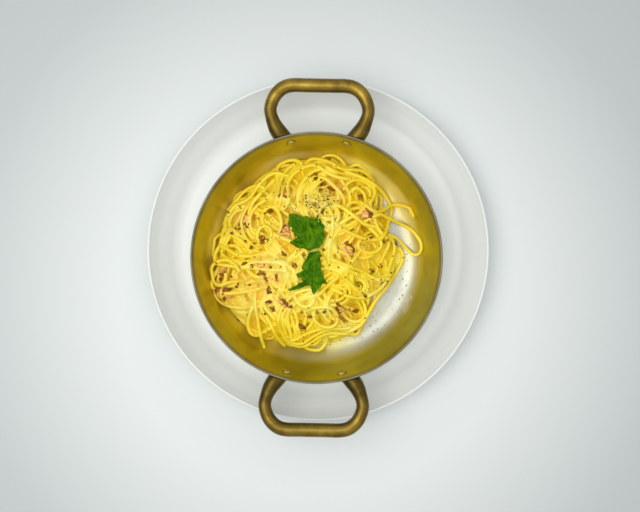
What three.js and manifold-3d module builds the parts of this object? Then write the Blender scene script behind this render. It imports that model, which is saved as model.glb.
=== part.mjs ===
// Spaghetti carbonara in a small two-handled metal pan that stands on a white dinner plate.
// Millimetres, +Z up. The origin is on the table, under the middle of the whole object's box.
import * as THREE from "three";
import { mergeVertices } from "three/addons/utils/BufferGeometryUtils.js";
import Module from "manifold-3d";

const wasm = await Module();
wasm.setup();

// ---- Plate: flat well with a raised edge, upright rim, foot ring underneath.
const PLATE_R = 140;
const PLATE_HEIGHT = 22;
const WELL_R = 121;
const WELL_Z = 6.5;
const PLATE_SKIN = 4.3;
const FOOT_R = 99;
const FOOT_WIDTH = 6;
const PLATE_SEGMENTS = 56;

// ---- Pan: flat floor, round bend, steep straight wall.
const PAN_R = 100;
const PAN_HEIGHT = 45;
const PAN_SKIN = 1.8;
const PAN_BEND_R = 18;
const PAN_WALL_ANGLE = THREE.MathUtils.degToRad(74);
const PAN_SEGMENTS = 64;
const PAN_OFFSET_Y = -6.5; // from the plate's centre, with PAN_OFFSET_X
const PAN_OFFSET_X = -1;

// ---- Handles: a cast loop at the back and one at the front, each on two riveted feet.
const HANDLE_REACH = 142.4; // pan centre to the outside of the bar
const HANDLE_WIDTH = 88; // outside of one leg to outside of the other
const HANDLE_BAR_R = 5.7;
const HANDLE_LEG_R = 5.1;
const HANDLE_FOOT_R = 6.9;
const HANDLE_CORNER = [18, 21]; // half-axes of the round corners
const HANDLE_DROP = 5; // bar's middle below the pan's rim
const RIVET_X = 22;
const RIVET_BELOW_RIM = 12.8;
const RIVET_R = 3.7;
const RIVET_DOME = 1.7;

// ---- Food.
const GAP = 0.3; // between pieces that lie on each other
const FINEST = 0.02; // smallest detail that a fused solid keeps
const NOODLE_SECTION_R = 1.55; // corners of a five-sided section, as stout as a round one of 1.4
const NOODLE_SIDES = 5;
const NOODLE_STEP = 5; // length of one straight piece of a noodle
const NOODLE_REACH = 85.5; // farthest that a noodle lies from the pan's middle
const NOODLE_DIP = 2.6; // how far a noodle's ends sink into the heap
const HEAP_R = 82.5; // reach of the heap from the pan's middle
const HEAP_BARE = { angle: -30, width: 24, depth: 22 }; // side where the pan's floor stays bare
const HEAP_BITE = { angle: 19.5, width: 7, depth: 19 }; // gap that only a few loose noodles cross
const HEAP_NOTCH = { angle: 37.5, width: 5.5, depth: 17 }; // a smaller gap that noodles close off
const HEAP_NEAR = { angle: -90, width: 24, depth: 6 }; // the side by the front handle
const HEAP_SPREAD = { angle: 200, width: 22, depth: -5.5 }; // side where the heap runs up the bend
const HEAP_HEIGHT = 32; // top of the heap above the pan's floor
const HEAP_EDGE = 6; // the heap's depth at its outer edge
const CORE_INSET = 5;
const CORE_SUNK = 3.1;
const CORE_SEGMENTS = 32;
const FILL_NOODLES = 13;
const SEED = 12;

// ---- Derived levels and places.
const table = 0;
const panUnder = WELL_Z + GAP;
const panFloor = panUnder + PAN_SKIN;
const panRim = panUnder + PAN_HEIGHT;
const plateY = (HANDLE_REACH - PLATE_R - PAN_OFFSET_Y) / 2;
const panX = PAN_OFFSET_X;
const panY = plateY + PAN_OFFSET_Y;
// Radius of the flat floor, so that the outside of the wall meets the rim at PAN_R.
const wallRise = panRim - panFloor - PAN_BEND_R * (1 - Math.cos(PAN_WALL_ANGLE));
const panFloorR =
  PAN_R -
  (wallRise + PAN_SKIN * Math.cos(PAN_WALL_ANGLE)) / Math.tan(PAN_WALL_ANGLE) -
  (PAN_BEND_R + PAN_SKIN) * Math.sin(PAN_WALL_ANGLE);

const material = (color, roughness, metalness) =>
  new THREE.MeshStandardMaterial({ color, roughness, metalness });
const PORCELAIN = material(0xe9ece9, 0.25, 0);
const TINNED_METAL = material(0xb9b7ab, 0.32, 1);
const AGED_BRASS = material(0x9a7d3c, 0.38, 1);
const PASTA = material(0xe6c545, 0.42, 0);
const BACON = material(0xb4624a, 0.45, 0);
const HERB = material(0x3f7d12, 0.55, 0);

// ---------------------------------------------------------------- helpers

// Seeded random numbers from 0 to 1.
function randomFrom(seed) {
  let a = seed >>> 0;
  return () => {
    a = (a + 0x6d2b79f5) >>> 0;
    let t = Math.imul(a ^ (a >>> 15), 1 | a);
    t = (t + Math.imul(t ^ (t >>> 7), 61 | t)) ^ t;
    return ((t ^ (t >>> 14)) >>> 0) / 4294967296;
  };
}

function solid(geometry) {
  const bare = geometry.clone();
  bare.deleteAttribute("normal");
  bare.deleteAttribute("uv");
  const merged = mergeVertices(bare, 1e-4);
  return new wasm.Manifold(
    new wasm.Mesh({
      numProp: 3,
      vertProperties: new Float32Array(merged.attributes.position.array),
      triVerts: new Uint32Array(merged.index.array),
    }),
  );
}

function geometryOf(made) {
  const mesh = made.getMesh();
  const geometry = new THREE.BufferGeometry();
  geometry.setAttribute("position", new THREE.BufferAttribute(mesh.vertProperties, 3));
  geometry.setIndex(new THREE.BufferAttribute(mesh.triVerts, 1));
  geometry.computeVertexNormals();
  return geometry;
}

// The largest body alone, without hair-thin faces: loose scraps go, and sealed hollows are filled.
function largestBody(made) {
  return made.simplify(FINEST).decompose().sort((a, b) => b.volume() - a.volume())[0];
}

// A lathe about +Z from [radius, height] pairs that run from the axis above to the axis below.
function turned(profile, segments) {
  const points = profile.map(([r, z]) => new THREE.Vector2(r, z)).reverse();
  const geometry = new THREE.LatheGeometry(points, segments);
  geometry.rotateX(Math.PI / 2);
  return geometry;
}

// Moves each vertex of a geometry by a function of its place.
function warped(geometry, place) {
  const position = geometry.attributes.position;
  const v = new THREE.Vector3();
  for (let i = 0; i < position.count; i++) {
    v.fromBufferAttribute(position, i);
    place(v);
    position.setXYZ(i, v.x, v.y, v.z);
  }
  return geometry;
}

function polygon(radius, sides) {
  const corners = [];
  for (let i = 0; i < sides; i++) {
    const a = (2 * Math.PI * i) / sides;
    corners.push(new THREE.Vector2(radius * Math.cos(a), radius * Math.sin(a)));
  }
  return new THREE.Shape(corners);
}

// A closed round bar along a curve, whose radius may vary with the share of its length.
function bar(curve, steps, sides, radiusAt) {
  const geometry = new THREE.ExtrudeGeometry(polygon(1, sides), {
    steps,
    bevelEnabled: false,
    extrudePath: curve,
  });
  const middles = curve.getSpacedPoints(steps);
  return warped(geometry, (v) => {
    let best = 0;
    middles.forEach((m, i) => {
      if (m.distanceToSquared(v) < middles[best].distanceToSquared(v)) best = i;
    });
    v.sub(middles[best]).multiplyScalar(radiusAt(best / steps)).add(middles[best]);
  });
}

// Degrees between an angle in radians and a direction in degrees, from 0 to 180.
const degreesApart = (angle, direction) =>
  Math.abs(THREE.MathUtils.euclideanModulo(THREE.MathUtils.radToDeg(angle) - direction + 180, 360) - 180);

const wave = (angle, seed) =>
  0.5 * Math.sin(2 * angle + seed) +
  0.32 * Math.sin(3 * angle + 2.3 * seed) +
  0.18 * Math.sin(5 * angle + 4.1 * seed);

// ---------------------------------------------------------------- plate

function platePiece() {
  const rimRise = PLATE_HEIGHT - WELL_Z;
  const underWell = WELL_Z - PLATE_SKIN;
  const footIn = FOOT_R - FOOT_WIDTH;
  const profile = [
    [0, WELL_Z],
    [WELL_R - 3.5, WELL_Z],
    [WELL_R - 1.2, WELL_Z + 0.8],
    [WELL_R + 1, WELL_Z + 3.3],
    [PLATE_R - 9, WELL_Z + 0.52 * rimRise],
    [PLATE_R - 1.9, PLATE_HEIGHT - 0.6],
    [PLATE_R - 1, PLATE_HEIGHT],
    [PLATE_R, PLATE_HEIGHT - 1.1],
    [PLATE_R - 4.6, WELL_Z + 0.46 * rimRise],
    [WELL_R + 5.5, WELL_Z - 0.9],
    [WELL_R, underWell + 1],
    [FOOT_R + 1.5, underWell + 0.3],
    [FOOT_R, table],
    [footIn, table],
    [footIn - 1.5, underWell],
    [0, underWell],
  ];
  return turned(profile, PLATE_SEGMENTS);
}

// ---------------------------------------------------------------- pan

// The pan's inner surface moved inwards by a distance, as [radius, height] from the axis to a level.
function panInside(inwards, level, bendSteps) {
  const r = PAN_BEND_R - inwards;
  const line = [[0, panFloor + inwards]];
  for (let i = 0; i <= bendSteps; i++) {
    const a = (PAN_WALL_ANGLE * i) / bendSteps;
    line.push([panFloorR + r * Math.sin(a), panFloor + PAN_BEND_R - r * Math.cos(a)]);
  }
  const [endR, endZ] = line[line.length - 1];
  line.push([endR + (level - endZ) / Math.tan(PAN_WALL_ANGLE), level]);
  return line;
}

function panPiece() {
  const inside = panInside(0, panRim - 0.5, 3);
  const outside = panInside(-PAN_SKIN, panRim - 0.5, 3).reverse();
  const inEdge = inside[inside.length - 1][0];
  return turned([...inside, [inEdge + 0.6, panRim], [PAN_R - 0.5, panRim], ...outside], PAN_SEGMENTS);
}

// A closed solid that fills the pan up to a level, a distance clear of its inner surface.
function panRoom(clear, level) {
  return solid(turned([[0, level], ...panInside(clear, level, 3).reverse()], PAN_SEGMENTS / 2));
}

// The pan's own body without its hollow, a distance larger all round.
function panBlock(larger) {
  const outside = panInside(-PAN_SKIN - larger, panRim + 12, 3).reverse();
  return solid(turned([[0, panRim + 12], ...outside], PAN_SEGMENTS));
}

// Height at which a bar of some radius rests on the pan's inside, at a distance from the middle.
function restHeight(distance, radius) {
  const r = PAN_BEND_R - radius;
  const out = distance - panFloorR;
  if (out <= 0) return panFloor + radius;
  const wallStart = r * Math.sin(PAN_WALL_ANGLE);
  if (out < wallStart) return panFloor + PAN_BEND_R - Math.sqrt(r * r - out * out);
  const wallFoot = panFloor + PAN_BEND_R - r * Math.cos(PAN_WALL_ANGLE);
  return wallFoot + (out - wallStart) * Math.tan(PAN_WALL_ANGLE);
}

// ---------------------------------------------------------------- handles and rivets

// Distance of the wall's outside from the axis at a height.
const wallOutside = (z) => PAN_R - (panRim - z) / Math.tan(PAN_WALL_ANGLE);

function handleSolid() {
  const barZ = panRim - HANDLE_DROP;
  const footZ = panRim - RIVET_BELOW_RIM;
  const barY = HANDLE_REACH - HANDLE_BAR_R;
  const sideX = HANDLE_WIDTH / 2 - HANDLE_LEG_R;
  const [cornerX, cornerY] = HANDLE_CORNER;
  const half = [
    [24.5, wallOutside(footZ) - 5, footZ + 1],
    [30.5, wallOutside(barZ) - 1, footZ + 4.5],
    [sideX - 3.4, barY - cornerY - 10.5, barZ - 1.4],
    [sideX, barY - cornerY, barZ],
    [sideX - cornerX * (1 - Math.SQRT1_2), barY - cornerY * (1 - Math.SQRT1_2), barZ],
    [sideX - cornerX, barY, barZ],
    [sideX - cornerX - 10, barY, barZ],
  ];
  const points = [
    ...half.map(([x, y, z]) => new THREE.Vector3(-x, y, z)),
    ...half.reverse().map(([x, y, z]) => new THREE.Vector3(x, y, z)),
  ];
  const curve = new THREE.CatmullRomCurve3(points, false, "centripetal");
  // Thickest where the legs meet the feet, thinnest at the sides, thicker again along the bar.
  const radiusAt = (share) => {
    const toBar = THREE.MathUtils.smoothstep(0.5 - Math.abs(share - 0.5), 0.16, 0.36);
    const toFoot = THREE.MathUtils.smoothstep(Math.abs(share - 0.5), 0.33, 0.44);
    return HANDLE_LEG_R + (HANDLE_BAR_R - HANDLE_LEG_R) * toBar + (HANDLE_FOOT_R - HANDLE_LEG_R) * toFoot;
  };
  let made = solid(bar(curve, 24, 10, radiusAt));
  for (const side of [-1, 1]) {
    const pad = new THREE.SphereGeometry(1, 10, 6);
    pad.scale(10, 3.6, 7.5);
    const turn = -side * Math.asin(25 / wallOutside(footZ));
    pad.rotateZ(turn);
    pad.translate(side * 25, Math.cos(turn) * (wallOutside(footZ) - 0.2), footZ);
    made = made.add(solid(pad));
  }
  return largestBody(made.subtract(panBlock(GAP)));
}

function rivetPiece() {
  const profile = [
    [0, RIVET_DOME],
    [0.55 * RIVET_R, 0.84 * RIVET_DOME],
    [0.88 * RIVET_R, 0.45 * RIVET_DOME],
    [RIVET_R, 0],
    [0, 0],
  ];
  return turned(profile, 10);
}

// Sets a rivet's head on the wall's inside, on the side of the pan that `back` names.
function placeRivet(mesh, side, back) {
  const z = panRim - RIVET_BELOW_RIM;
  const wallInside = wallOutside(z) - PAN_SKIN / Math.sin(PAN_WALL_ANGLE);
  const angle = Math.atan2(back * Math.sqrt(wallInside ** 2 - RIVET_X ** 2), side * RIVET_X);
  const inwards = new THREE.Vector3(
    -Math.cos(angle) * Math.sin(PAN_WALL_ANGLE),
    -Math.sin(angle) * Math.sin(PAN_WALL_ANGLE),
    Math.cos(PAN_WALL_ANGLE),
  );
  mesh.position.set(wallInside * Math.cos(angle), wallInside * Math.sin(angle), z);
  mesh.position.addScaledVector(inwards, GAP);
  mesh.quaternion.setFromUnitVectors(new THREE.Vector3(0, 0, 1), inwards);
}

// ---------------------------------------------------------------- the heap's form

// Reach of the heap at an angle about the pan's middle.
function heapReach(angle) {
  let reach = HEAP_R + 1.2 * Math.sin(5 * angle + 0.7) + 0.9 * Math.sin(9 * angle + 2);
  for (const side of [HEAP_BARE, HEAP_BITE, HEAP_NOTCH, HEAP_NEAR, HEAP_SPREAD]) {
    reach -= side.depth * Math.exp(-0.5 * (degreesApart(angle, side.angle) / side.width) ** 2);
  }
  return reach;
}

// Top of the heap at a place.
function heapTop(x, y) {
  const distance = Math.hypot(x, y);
  const share = Math.min(1, distance / heapReach(Math.atan2(y, x)));
  const lumps = Math.sin(x / 11 + 0.8) * Math.cos(y / 13 - 0.4);
  const dome = (HEAP_HEIGHT - HEAP_EDGE) * (1 - share ** 2.2);
  return restHeight(distance, 0) + HEAP_EDGE + dome + 0.9 * lumps * (1 - share ** 4);
}

const coreTop = (x, y) => heapTop(x, y) - CORE_SUNK;

function corePiece() {
  const profile = [0, 0.2, 0.38, 0.54, 0.69, 0.82, 0.92, 1].map((share) => [share, 1]);
  const geometry = turned([...profile, [0.97, 0], [0, 0]], CORE_SEGMENTS);
  return warped(geometry, (v) => {
    const angle = Math.atan2(v.y, v.x);
    const share = Math.hypot(v.x, v.y);
    const reach = (heapReach(angle) - CORE_INSET) * share;
    const top = v.z > 0.5;
    v.x = reach * Math.cos(angle);
    v.y = reach * Math.sin(angle);
    v.z = top ? coreTop(v.x, v.y) - 1.8 * Math.max(0, share - 0.9) * 10 : panFloor - 1;
  });
}

// Height of the core's faceted surface at a place.
const downRay = new THREE.Raycaster();
function heightOn(core, x, y) {
  downRay.set(new THREE.Vector3(x, y, 2 * panRim), new THREE.Vector3(0, 0, -1));
  const hit = downRay.intersectObject(core)[0];
  return hit ? hit.point.z : coreTop(x, y);
}

// ---------------------------------------------------------------- toppings

// Pieces of bacon: place on the heap, length, width and thickness, and how far the length is turned.
const BACON_PIECES = [
  { x: -26, y: 20, size: [12, 9, 2.4], turn: 70 },
  { x: 39.6, y: 36.6, size: [10.5, 9, 3], turn: 20 },
  { x: 25.2, y: 7.1, size: [13, 10, 2.6], turn: 120 },
  { x: -76, y: -13, size: [9, 7, 2.6], turn: 50 },
  { x: -59.5, y: 29.8, size: [12, 5.5, 2.4], turn: 38 },
  { x: -42.8, y: -15.5, size: [10, 6, 2.6], turn: 5 },
  { x: -44.8, y: -5.8, size: [8.5, 6, 2.6], turn: 75 },
  { x: -75.5, y: -30.5, size: [15, 9, 2.6], turn: 150 },
  { x: -26.7, y: -36.6, size: [10, 6, 2.4], turn: 150 },
  { x: -27.5, y: 51, size: [9, 4.5, 2.2], turn: 35 },
  { x: 20.5, y: -44.3, size: [9, 6.5, 2.4], turn: 75 },
  { x: 14.2, y: 56.2, size: [12, 5, 2.4], turn: 161 },
  { x: -33.2, y: -18.5, size: [8.5, 5.5, 2.4], turn: 100 },
];

// A herb leaf: its middle, and the corners of its toothed outline about that.
const LEAVES = {
  leaf_upper: {
    x: -8,
    y: 19.5,
    outline: [
      [-15, 15.4], [-10.1, 15.6], [-7.4, 13.8], [-3.7, 12.4], [-0.3, 13.7], [3.2, 10.3], [5.4, 10.9],
      [8.1, 13.2], [10.3, 11.5], [11.6, 8.1], [13.9, 5.2], [12.5, 2.2], [14.1, -1.4], [13, -6.1],
      [10.7, -10.6], [7.6, -12.2], [1.7, -12.8], [-2.7, -12.1], [-6.6, -12], [-10.1, -10],
      [-13.4, -7.7], [-7.6, -3.4], [-10.3, -0.7], [-12.8, 2], [-11.4, 3.8], [-14.9, 6.6], [-14.9, 11],
    ],
  },
  leaf_lower: {
    x: -2.5,
    y: -15.9,
    outline: [
      [-3.2, 19.8], [0.7, 20.5], [4.8, 20.9], [5.2, 16.5], [5.8, 11.6], [6.8, 7.2], [8.1, 3.3],
      [9.5, -1], [11.6, -4.6], [7.5, -3.6], [7.1, -5.5], [5.7, -8.7], [3.2, -10], [0.6, -13.1],
      [-0.9, -9.6], [-1.5, -6.2], [-5.7, -7], [-9.5, -9], [-13.4, -10.6], [-19.8, -11],
      [-14.2, -7.6], [-10.2, -5], [-6, -1.1], [-8.7, -0.4], [-13.4, 1.9], [-10.8, 4], [-7.8, 5.6],
      [-9.4, 8], [-7.5, 11.4], [-5.6, 15.3],
    ],
  },
};
const LEAF_THICKNESS = 0.9;
const LEAF_RINGS = 3;

// Reach of a leaf's edge in a direction from its middle.
function leafReach(leaf, angle) {
  const [c, s] = [Math.cos(angle), Math.sin(angle)];
  let reach = 0;
  leaf.outline.forEach(([ax, ay], i) => {
    const [bx, by] = leaf.outline[(i + 1) % leaf.outline.length];
    // Where the ray from the middle crosses the edge from a to b, as a share of that edge.
    const before = ay * c - ax * s;
    const after = by * c - bx * s;
    const share = before / (before - after);
    const along = (ax + (bx - ax) * share) * c + (ay + (by - ay) * share) * s;
    if (before * after <= 0 && before !== after) reach = Math.max(reach, along);
  });
  return reach;
}

// A thin wavy sheet over the core, both faces divided alike.
function leafPiece(leaf, core) {
  const spokes = leaf.outline.length;
  const upper = [new THREE.Vector3(leaf.x, leaf.y, 0)];
  for (let ring = 1; ring <= LEAF_RINGS; ring++) {
    const share = ring / LEAF_RINGS;
    for (const [x, y] of [...leaf.outline].reverse()) {
      upper.push(new THREE.Vector3(leaf.x + share * x, leaf.y + share * y, share));
    }
  }
  for (const p of upper) {
    const angle = Math.atan2(p.y - leaf.y, p.x - leaf.x);
    const curl = p.z * p.z * (1 + wave(angle, leaf.x));
    p.z = heightOn(core, p.x, p.y) + 0.6 + LEAF_THICKNESS + curl;
  }
  const below = upper.length;
  const face = (offset) => upper.flatMap((p) => [p.x, p.y, p.z + offset]);
  const triangles = [];
  const both = (a, b, c) => triangles.push(a, b, c, below + c, below + b, below + a);
  for (let i = 0; i < spokes; i++) {
    const next = (i + 1) % spokes;
    both(0, 1 + i, 1 + next);
    for (let ring = 1; ring < LEAF_RINGS; ring++) {
      const [inner, outer] = [1 + (ring - 1) * spokes, 1 + ring * spokes];
      both(inner + i, outer + i, outer + next);
      both(inner + i, outer + next, inner + next);
    }
    const edge = 1 + (LEAF_RINGS - 1) * spokes;
    triangles.push(edge + i, below + edge + i, edge + next);
    triangles.push(edge + next, below + edge + i, below + edge + next);
  }
  const geometry = new THREE.BufferGeometry();
  const vertices = [...face(0), ...face(-LEAF_THICKNESS)];
  geometry.setAttribute("position", new THREE.Float32BufferAttribute(vertices, 3));
  geometry.setIndex(triangles);
  return geometry;
}

// An uneven flat lump, one unit across in each direction.
function baconShape(seed) {
  const profile = [
    [0, 0.5],
    [0.36, 0.46],
    [0.5, 0.05],
    [0.42, -0.5],
    [0, -0.5],
  ];
  return warped(turned(profile, 11), (v) => {
    const angle = Math.atan2(v.y, v.x);
    const grow = 1 + 0.26 * wave(angle, seed);
    v.x *= grow;
    v.y *= grow;
    v.z += v.z > 0 ? 0.18 * Math.sin(3 * v.x + seed) : 0;
  });
}

// Lays a piece of bacon on the core, tilted as the core is there.
function placeBacon(mesh, piece, core) {
  const reach = 0.3 * piece.size[0];
  const low = (dx, dy) => heightOn(core, piece.x + dx, piece.y + dy);
  const tilt = new THREE.Vector3(
    (low(-reach, 0) - low(reach, 0)) / (2 * reach),
    (low(0, -reach) - low(0, reach)) / (2 * reach),
    1,
  ).normalize();
  const heading = new THREE.Quaternion().setFromAxisAngle(
    new THREE.Vector3(0, 0, 1),
    THREE.MathUtils.degToRad(piece.turn),
  );
  // The tilted plane is lifted until no part of the core under the piece reaches it.
  let lift = 0;
  for (let i = 0; i < 48; i++) {
    const away = (0.6 * piece.size[0] * (1 + (i % 3))) / 3;
    const [dx, dy] = [away * Math.cos(0.39 * i), away * Math.sin(0.39 * i)];
    const plane = low(0, 0) - (tilt.x * dx + tilt.y * dy) / tilt.z;
    lift = Math.max(lift, low(dx, dy) - plane);
  }
  mesh.scale.set(...piece.size);
  mesh.quaternion.setFromUnitVectors(new THREE.Vector3(0, 0, 1), tilt).multiply(heading);
  mesh.position.set(piece.x, piece.y, low(0, 0) + lift);
  mesh.position.addScaledVector(tilt, piece.size[2] / 2 + GAP);
}

// True where a noodle would run into a topping.
function underTopping(x, y) {
  const clear = NOODLE_SECTION_R + 0.5;
  for (const piece of BACON_PIECES) {
    if (Math.hypot(x - piece.x, y - piece.y) < 0.63 * piece.size[0] + clear) return true;
  }
  for (const leaf of Object.values(LEAVES)) {
    const distance = Math.hypot(x - leaf.x, y - leaf.y);
    if (distance < leafReach(leaf, Math.atan2(y - leaf.y, x - leaf.x)) + clear) return true;
  }
  return false;
}

// ---------------------------------------------------------------- noodles

// Noodles that stand out, as points that each one passes.
const LEADING_NOODLES = [
  [
    [50, 36], [57.4, 33.9], [63.2, 31.6], [76.6, 25.2], [83.6, 17.5],
    [86, 10.5], [84, 4.7], [79, 4.6], [73, 10.3], [66, 17],
  ],
  [[48, 38], [60.5, 43.9], [68.8, 44.4], [76.2, 41.7], [81.5, 36.2]],
  [[22, 71], [38.5, 64.8], [51.1, 56.8], [57.8, 48.7], [60, 38]],
  [[70.5, -1], [65.4, -12], [58, -23.2], [49.6, -33.2], [43.4, -44], [38, -53]],
  [
    [-62, -20], [-71.9, -21.7], [-79.7, -24], [-85, -18.8],
    [-85.4, -9.3], [-79, -4.1], [-70, -3.9], [-62, -12],
  ],
  [[-44, 60], [-35.6, 69.6], [-27.6, 78.6], [-15.2, 77.2], [-12, 68], [-20, 59], [-32, 60]],
  [[12, -4], [23.2, -6.3], [45.2, -9.1], [64, -12.8]],
  [[14, -8], [26, -10.4], [44, -13.2], [60, -18]],
  [[4, -66], [6.9, -50.9], [15, -42.6], [23.3, -50.6], [18.6, -59.7], [8, -70]],
  [[-46.9, -74], [-45.7, -56.3], [-42, -35.7], [-47, -24]],
  [[2, 52], [9, 38], [11, 12], [10, -12], [9, -30], [2, -42]],
];

// Noodles along the edge of the heap: from one angle to another, in degrees.
const EDGE_NOODLES = [
  [98, 152],
  [148, 192],
  [204, 250],
  [246, 292],
  [288, 330],
  [52, 96],
];

function edgeNoodle([from, to]) {
  const points = [];
  for (let i = 0; i <= 8; i++) {
    const angle = THREE.MathUtils.degToRad(from + ((to - from) * i) / 8);
    const reach = heapReach(angle) - 2 - 5 * (i === 0 || i === 8) + 1.2 * Math.sin(2.1 * i + from);
    points.push([reach * Math.cos(angle), reach * Math.sin(angle)]);
  }
  return points;
}

// A wandering path that turns back before it leaves the heap.
function wander(random) {
  const start = 2 * Math.PI * random();
  const away = Math.sqrt(random()) * (heapReach(start) - 8);
  let [x, y] = [away * Math.cos(start), away * Math.sin(start)];
  let heading = 2 * Math.PI * random();
  const bends = [random() * 6, 26 + 30 * random(), 0.03 + 0.05 * random()];
  const points = [];
  for (let s = 0; s < 96; s += 4) {
    points.push([x, y]);
    let turn = 4 * bends[2] * Math.sin(s / (bends[1] / 3) + bends[0]);
    const angle = Math.atan2(y, x);
    const left = heapReach(angle) - 4 - Math.hypot(x, y);
    if (left < 14) {
      const outwards = Math.cos(heading - angle);
      const side = Math.sin(heading - angle) >= 0 ? 1 : -1;
      turn += outwards > -0.3 ? side * 0.34 * (1 - left / 14) : 0;
    }
    heading += turn;
    x += 4 * Math.cos(heading);
    y += 4 * Math.sin(heading);
  }
  return points;
}

// The longest stretch of a path that is clear of the toppings, as closely spaced points.
function clearStretch(path) {
  const curve = new THREE.CatmullRomCurve3(path.map(([x, y]) => new THREE.Vector3(x, y, 0)));
  const points = curve.getSpacedPoints(Math.ceil(curve.getLength()));
  let best = [];
  let run = [];
  for (const p of points) {
    p.clampLength(0, NOODLE_REACH);
    if (underTopping(p.x, p.y)) run = [];
    else run.push(p);
    if (run.length > best.length) best = [...run];
  }
  return best;
}

// Lays noodles one after another on the core, each over those already there.
function layNoodles() {
  const laid = [];
  const random = randomFrom(SEED);
  const apart = 2 * NOODLE_SECTION_R + 0.1;
  const overCore = (x, y) => Math.hypot(x, y) < heapReach(Math.atan2(y, x)) - CORE_INSET - 1;
  const surface = (x, y) => {
    let z = restHeight(Math.hypot(x, y), NOODLE_SECTION_R + 2.5 * GAP);
    if (overCore(x, y)) z = Math.max(z, coreTop(x, y) + NOODLE_SECTION_R);
    for (const points of laid) {
      for (let i = 0; i < points.length; i += 2) {
        const away = Math.hypot(points[i].x - x, points[i].y - y);
        if (away < apart) z = Math.max(z, points[i].z + Math.sqrt(apart ** 2 - away ** 2));
      }
    }
    return z;
  };
  const lay = (points) => {
    const floor = points.map((p) => surface(p.x, p.y));
    let z = [...floor];
    for (let pass = 0; pass < 12; pass++) {
      z = z.map((value, i) => {
        const next = (z[Math.max(0, i - 2)] + z[Math.min(z.length - 1, i + 2)]) / 2;
        return Math.max(floor[i], 0.5 * value + 0.5 * next - 0.06);
      });
    }
    points.forEach((p, i) => {
      const toEnd = Math.min(i, points.length - 1 - i) / 6;
      p.z = z[i] - (overCore(p.x, p.y) ? NOODLE_DIP * Math.max(0, 1 - toEnd) ** 2 : 0);
    });
    laid.push(points);
  };
  for (const path of LEADING_NOODLES.slice(6)) lay(clearStretch(path));
  for (const ends of EDGE_NOODLES) lay(clearStretch(edgeNoodle(ends)));
  for (let n = 0; n < FILL_NOODLES; n++) {
    // Of several draws, the one that lies farthest from the noodles already there.
    let best = null;
    for (let draw = 0; draw < 60; draw++) {
      const points = clearStretch(wander(random));
      if (points.length < 50) continue;
      let room = 0;
      for (let i = 0; i < points.length; i += 6) {
        let nearest = 18;
        for (const other of laid) {
          for (let j = 0; j < other.length; j += 4) {
            nearest = Math.min(nearest, Math.hypot(other[j].x - points[i].x, other[j].y - points[i].y));
          }
        }
        room += nearest;
      }
      room *= Math.min(1, points.length / 80) / points.length;
      if (!best || room > best.room) best = { points, room };
    }
    if (best) lay(best.points);
  }
  for (const path of LEADING_NOODLES.slice(0, 6)) lay(clearStretch(path));
  return laid.filter((points) => points.length > 18);
}

function heapSolid(core) {
  let made = solid(core.geometry).intersect(panRoom(GAP, panRim));
  for (const points of layNoodles()) {
    const knots = points.filter((_, i) => i % 3 === 0);
    const curve = new THREE.CatmullRomCurve3(knots, false, "centripetal");
    const steps = Math.ceil(curve.getLength() / NOODLE_STEP);
    made = made.add(solid(bar(curve, steps, NOODLE_SIDES, () => NOODLE_SECTION_R)));
  }
  return largestBody(made);
}

// ---------------------------------------------------------------- the whole object

function named(name, geometry, look) {
  const mesh = new THREE.Mesh(geometry, look);
  mesh.name = name;
  return mesh;
}

const dish = new THREE.Group();

const plate = named("plate", platePiece(), PORCELAIN);
plate.position.set(0, plateY, 0);
dish.add(plate);

const pan = new THREE.Group();
pan.position.set(panX, panY, 0);
dish.add(pan);
pan.add(named("pan", panPiece(), TINNED_METAL));

const handleShape = geometryOf(handleSolid());
const handleBack = named("handle_back", handleShape, AGED_BRASS);
const handleFront = named("handle_front", handleShape, AGED_BRASS);
handleFront.rotation.z = Math.PI;
pan.add(handleBack, handleFront);

for (const [end, back] of [["back", 1], ["front", -1]]) {
  for (const [hand, side] of [["left", -1], ["right", 1]]) {
    const rivet = named("rivet_" + end + "_" + hand, rivetPiece(), AGED_BRASS);
    placeRivet(rivet, side, back);
    pan.add(rivet);
  }
}

const core = new THREE.Mesh(corePiece(), PASTA);
core.updateMatrixWorld(true);
core.material.side = THREE.DoubleSide;
pan.add(named("spaghetti", geometryOf(heapSolid(core)), PASTA));

BACON_PIECES.forEach((piece, i) => {
  const mesh = named("bacon_" + (i + 1), baconShape(1.7 * i + 0.4), BACON);
  placeBacon(mesh, piece, core);
  pan.add(mesh);
});

for (const [name, leaf] of Object.entries(LEAVES)) {
  pan.add(named(name, leafPiece(leaf, core), HERB));
}

export default dish;
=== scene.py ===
"""Looks of the spaghetti carbonara in its serving pan on a white plate.

Sizes are worked out in millimetres in the pan's own frame and turned into metres when a mesh is made.
"""

import math

import bmesh
import bpy
import numpy as np
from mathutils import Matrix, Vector


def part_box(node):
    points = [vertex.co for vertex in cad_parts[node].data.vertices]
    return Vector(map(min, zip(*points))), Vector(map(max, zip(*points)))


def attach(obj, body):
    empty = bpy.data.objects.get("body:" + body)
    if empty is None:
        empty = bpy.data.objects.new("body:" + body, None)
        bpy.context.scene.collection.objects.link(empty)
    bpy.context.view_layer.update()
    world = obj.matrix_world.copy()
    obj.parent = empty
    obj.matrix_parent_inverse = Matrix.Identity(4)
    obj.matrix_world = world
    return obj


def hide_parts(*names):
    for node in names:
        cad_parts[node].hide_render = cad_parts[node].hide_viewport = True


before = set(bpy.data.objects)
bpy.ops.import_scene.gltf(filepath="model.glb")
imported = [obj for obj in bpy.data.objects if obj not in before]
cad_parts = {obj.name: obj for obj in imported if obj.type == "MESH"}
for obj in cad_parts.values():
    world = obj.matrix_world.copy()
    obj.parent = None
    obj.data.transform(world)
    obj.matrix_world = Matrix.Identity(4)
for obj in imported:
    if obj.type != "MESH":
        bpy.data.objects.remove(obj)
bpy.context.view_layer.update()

MM = 0.001
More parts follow.
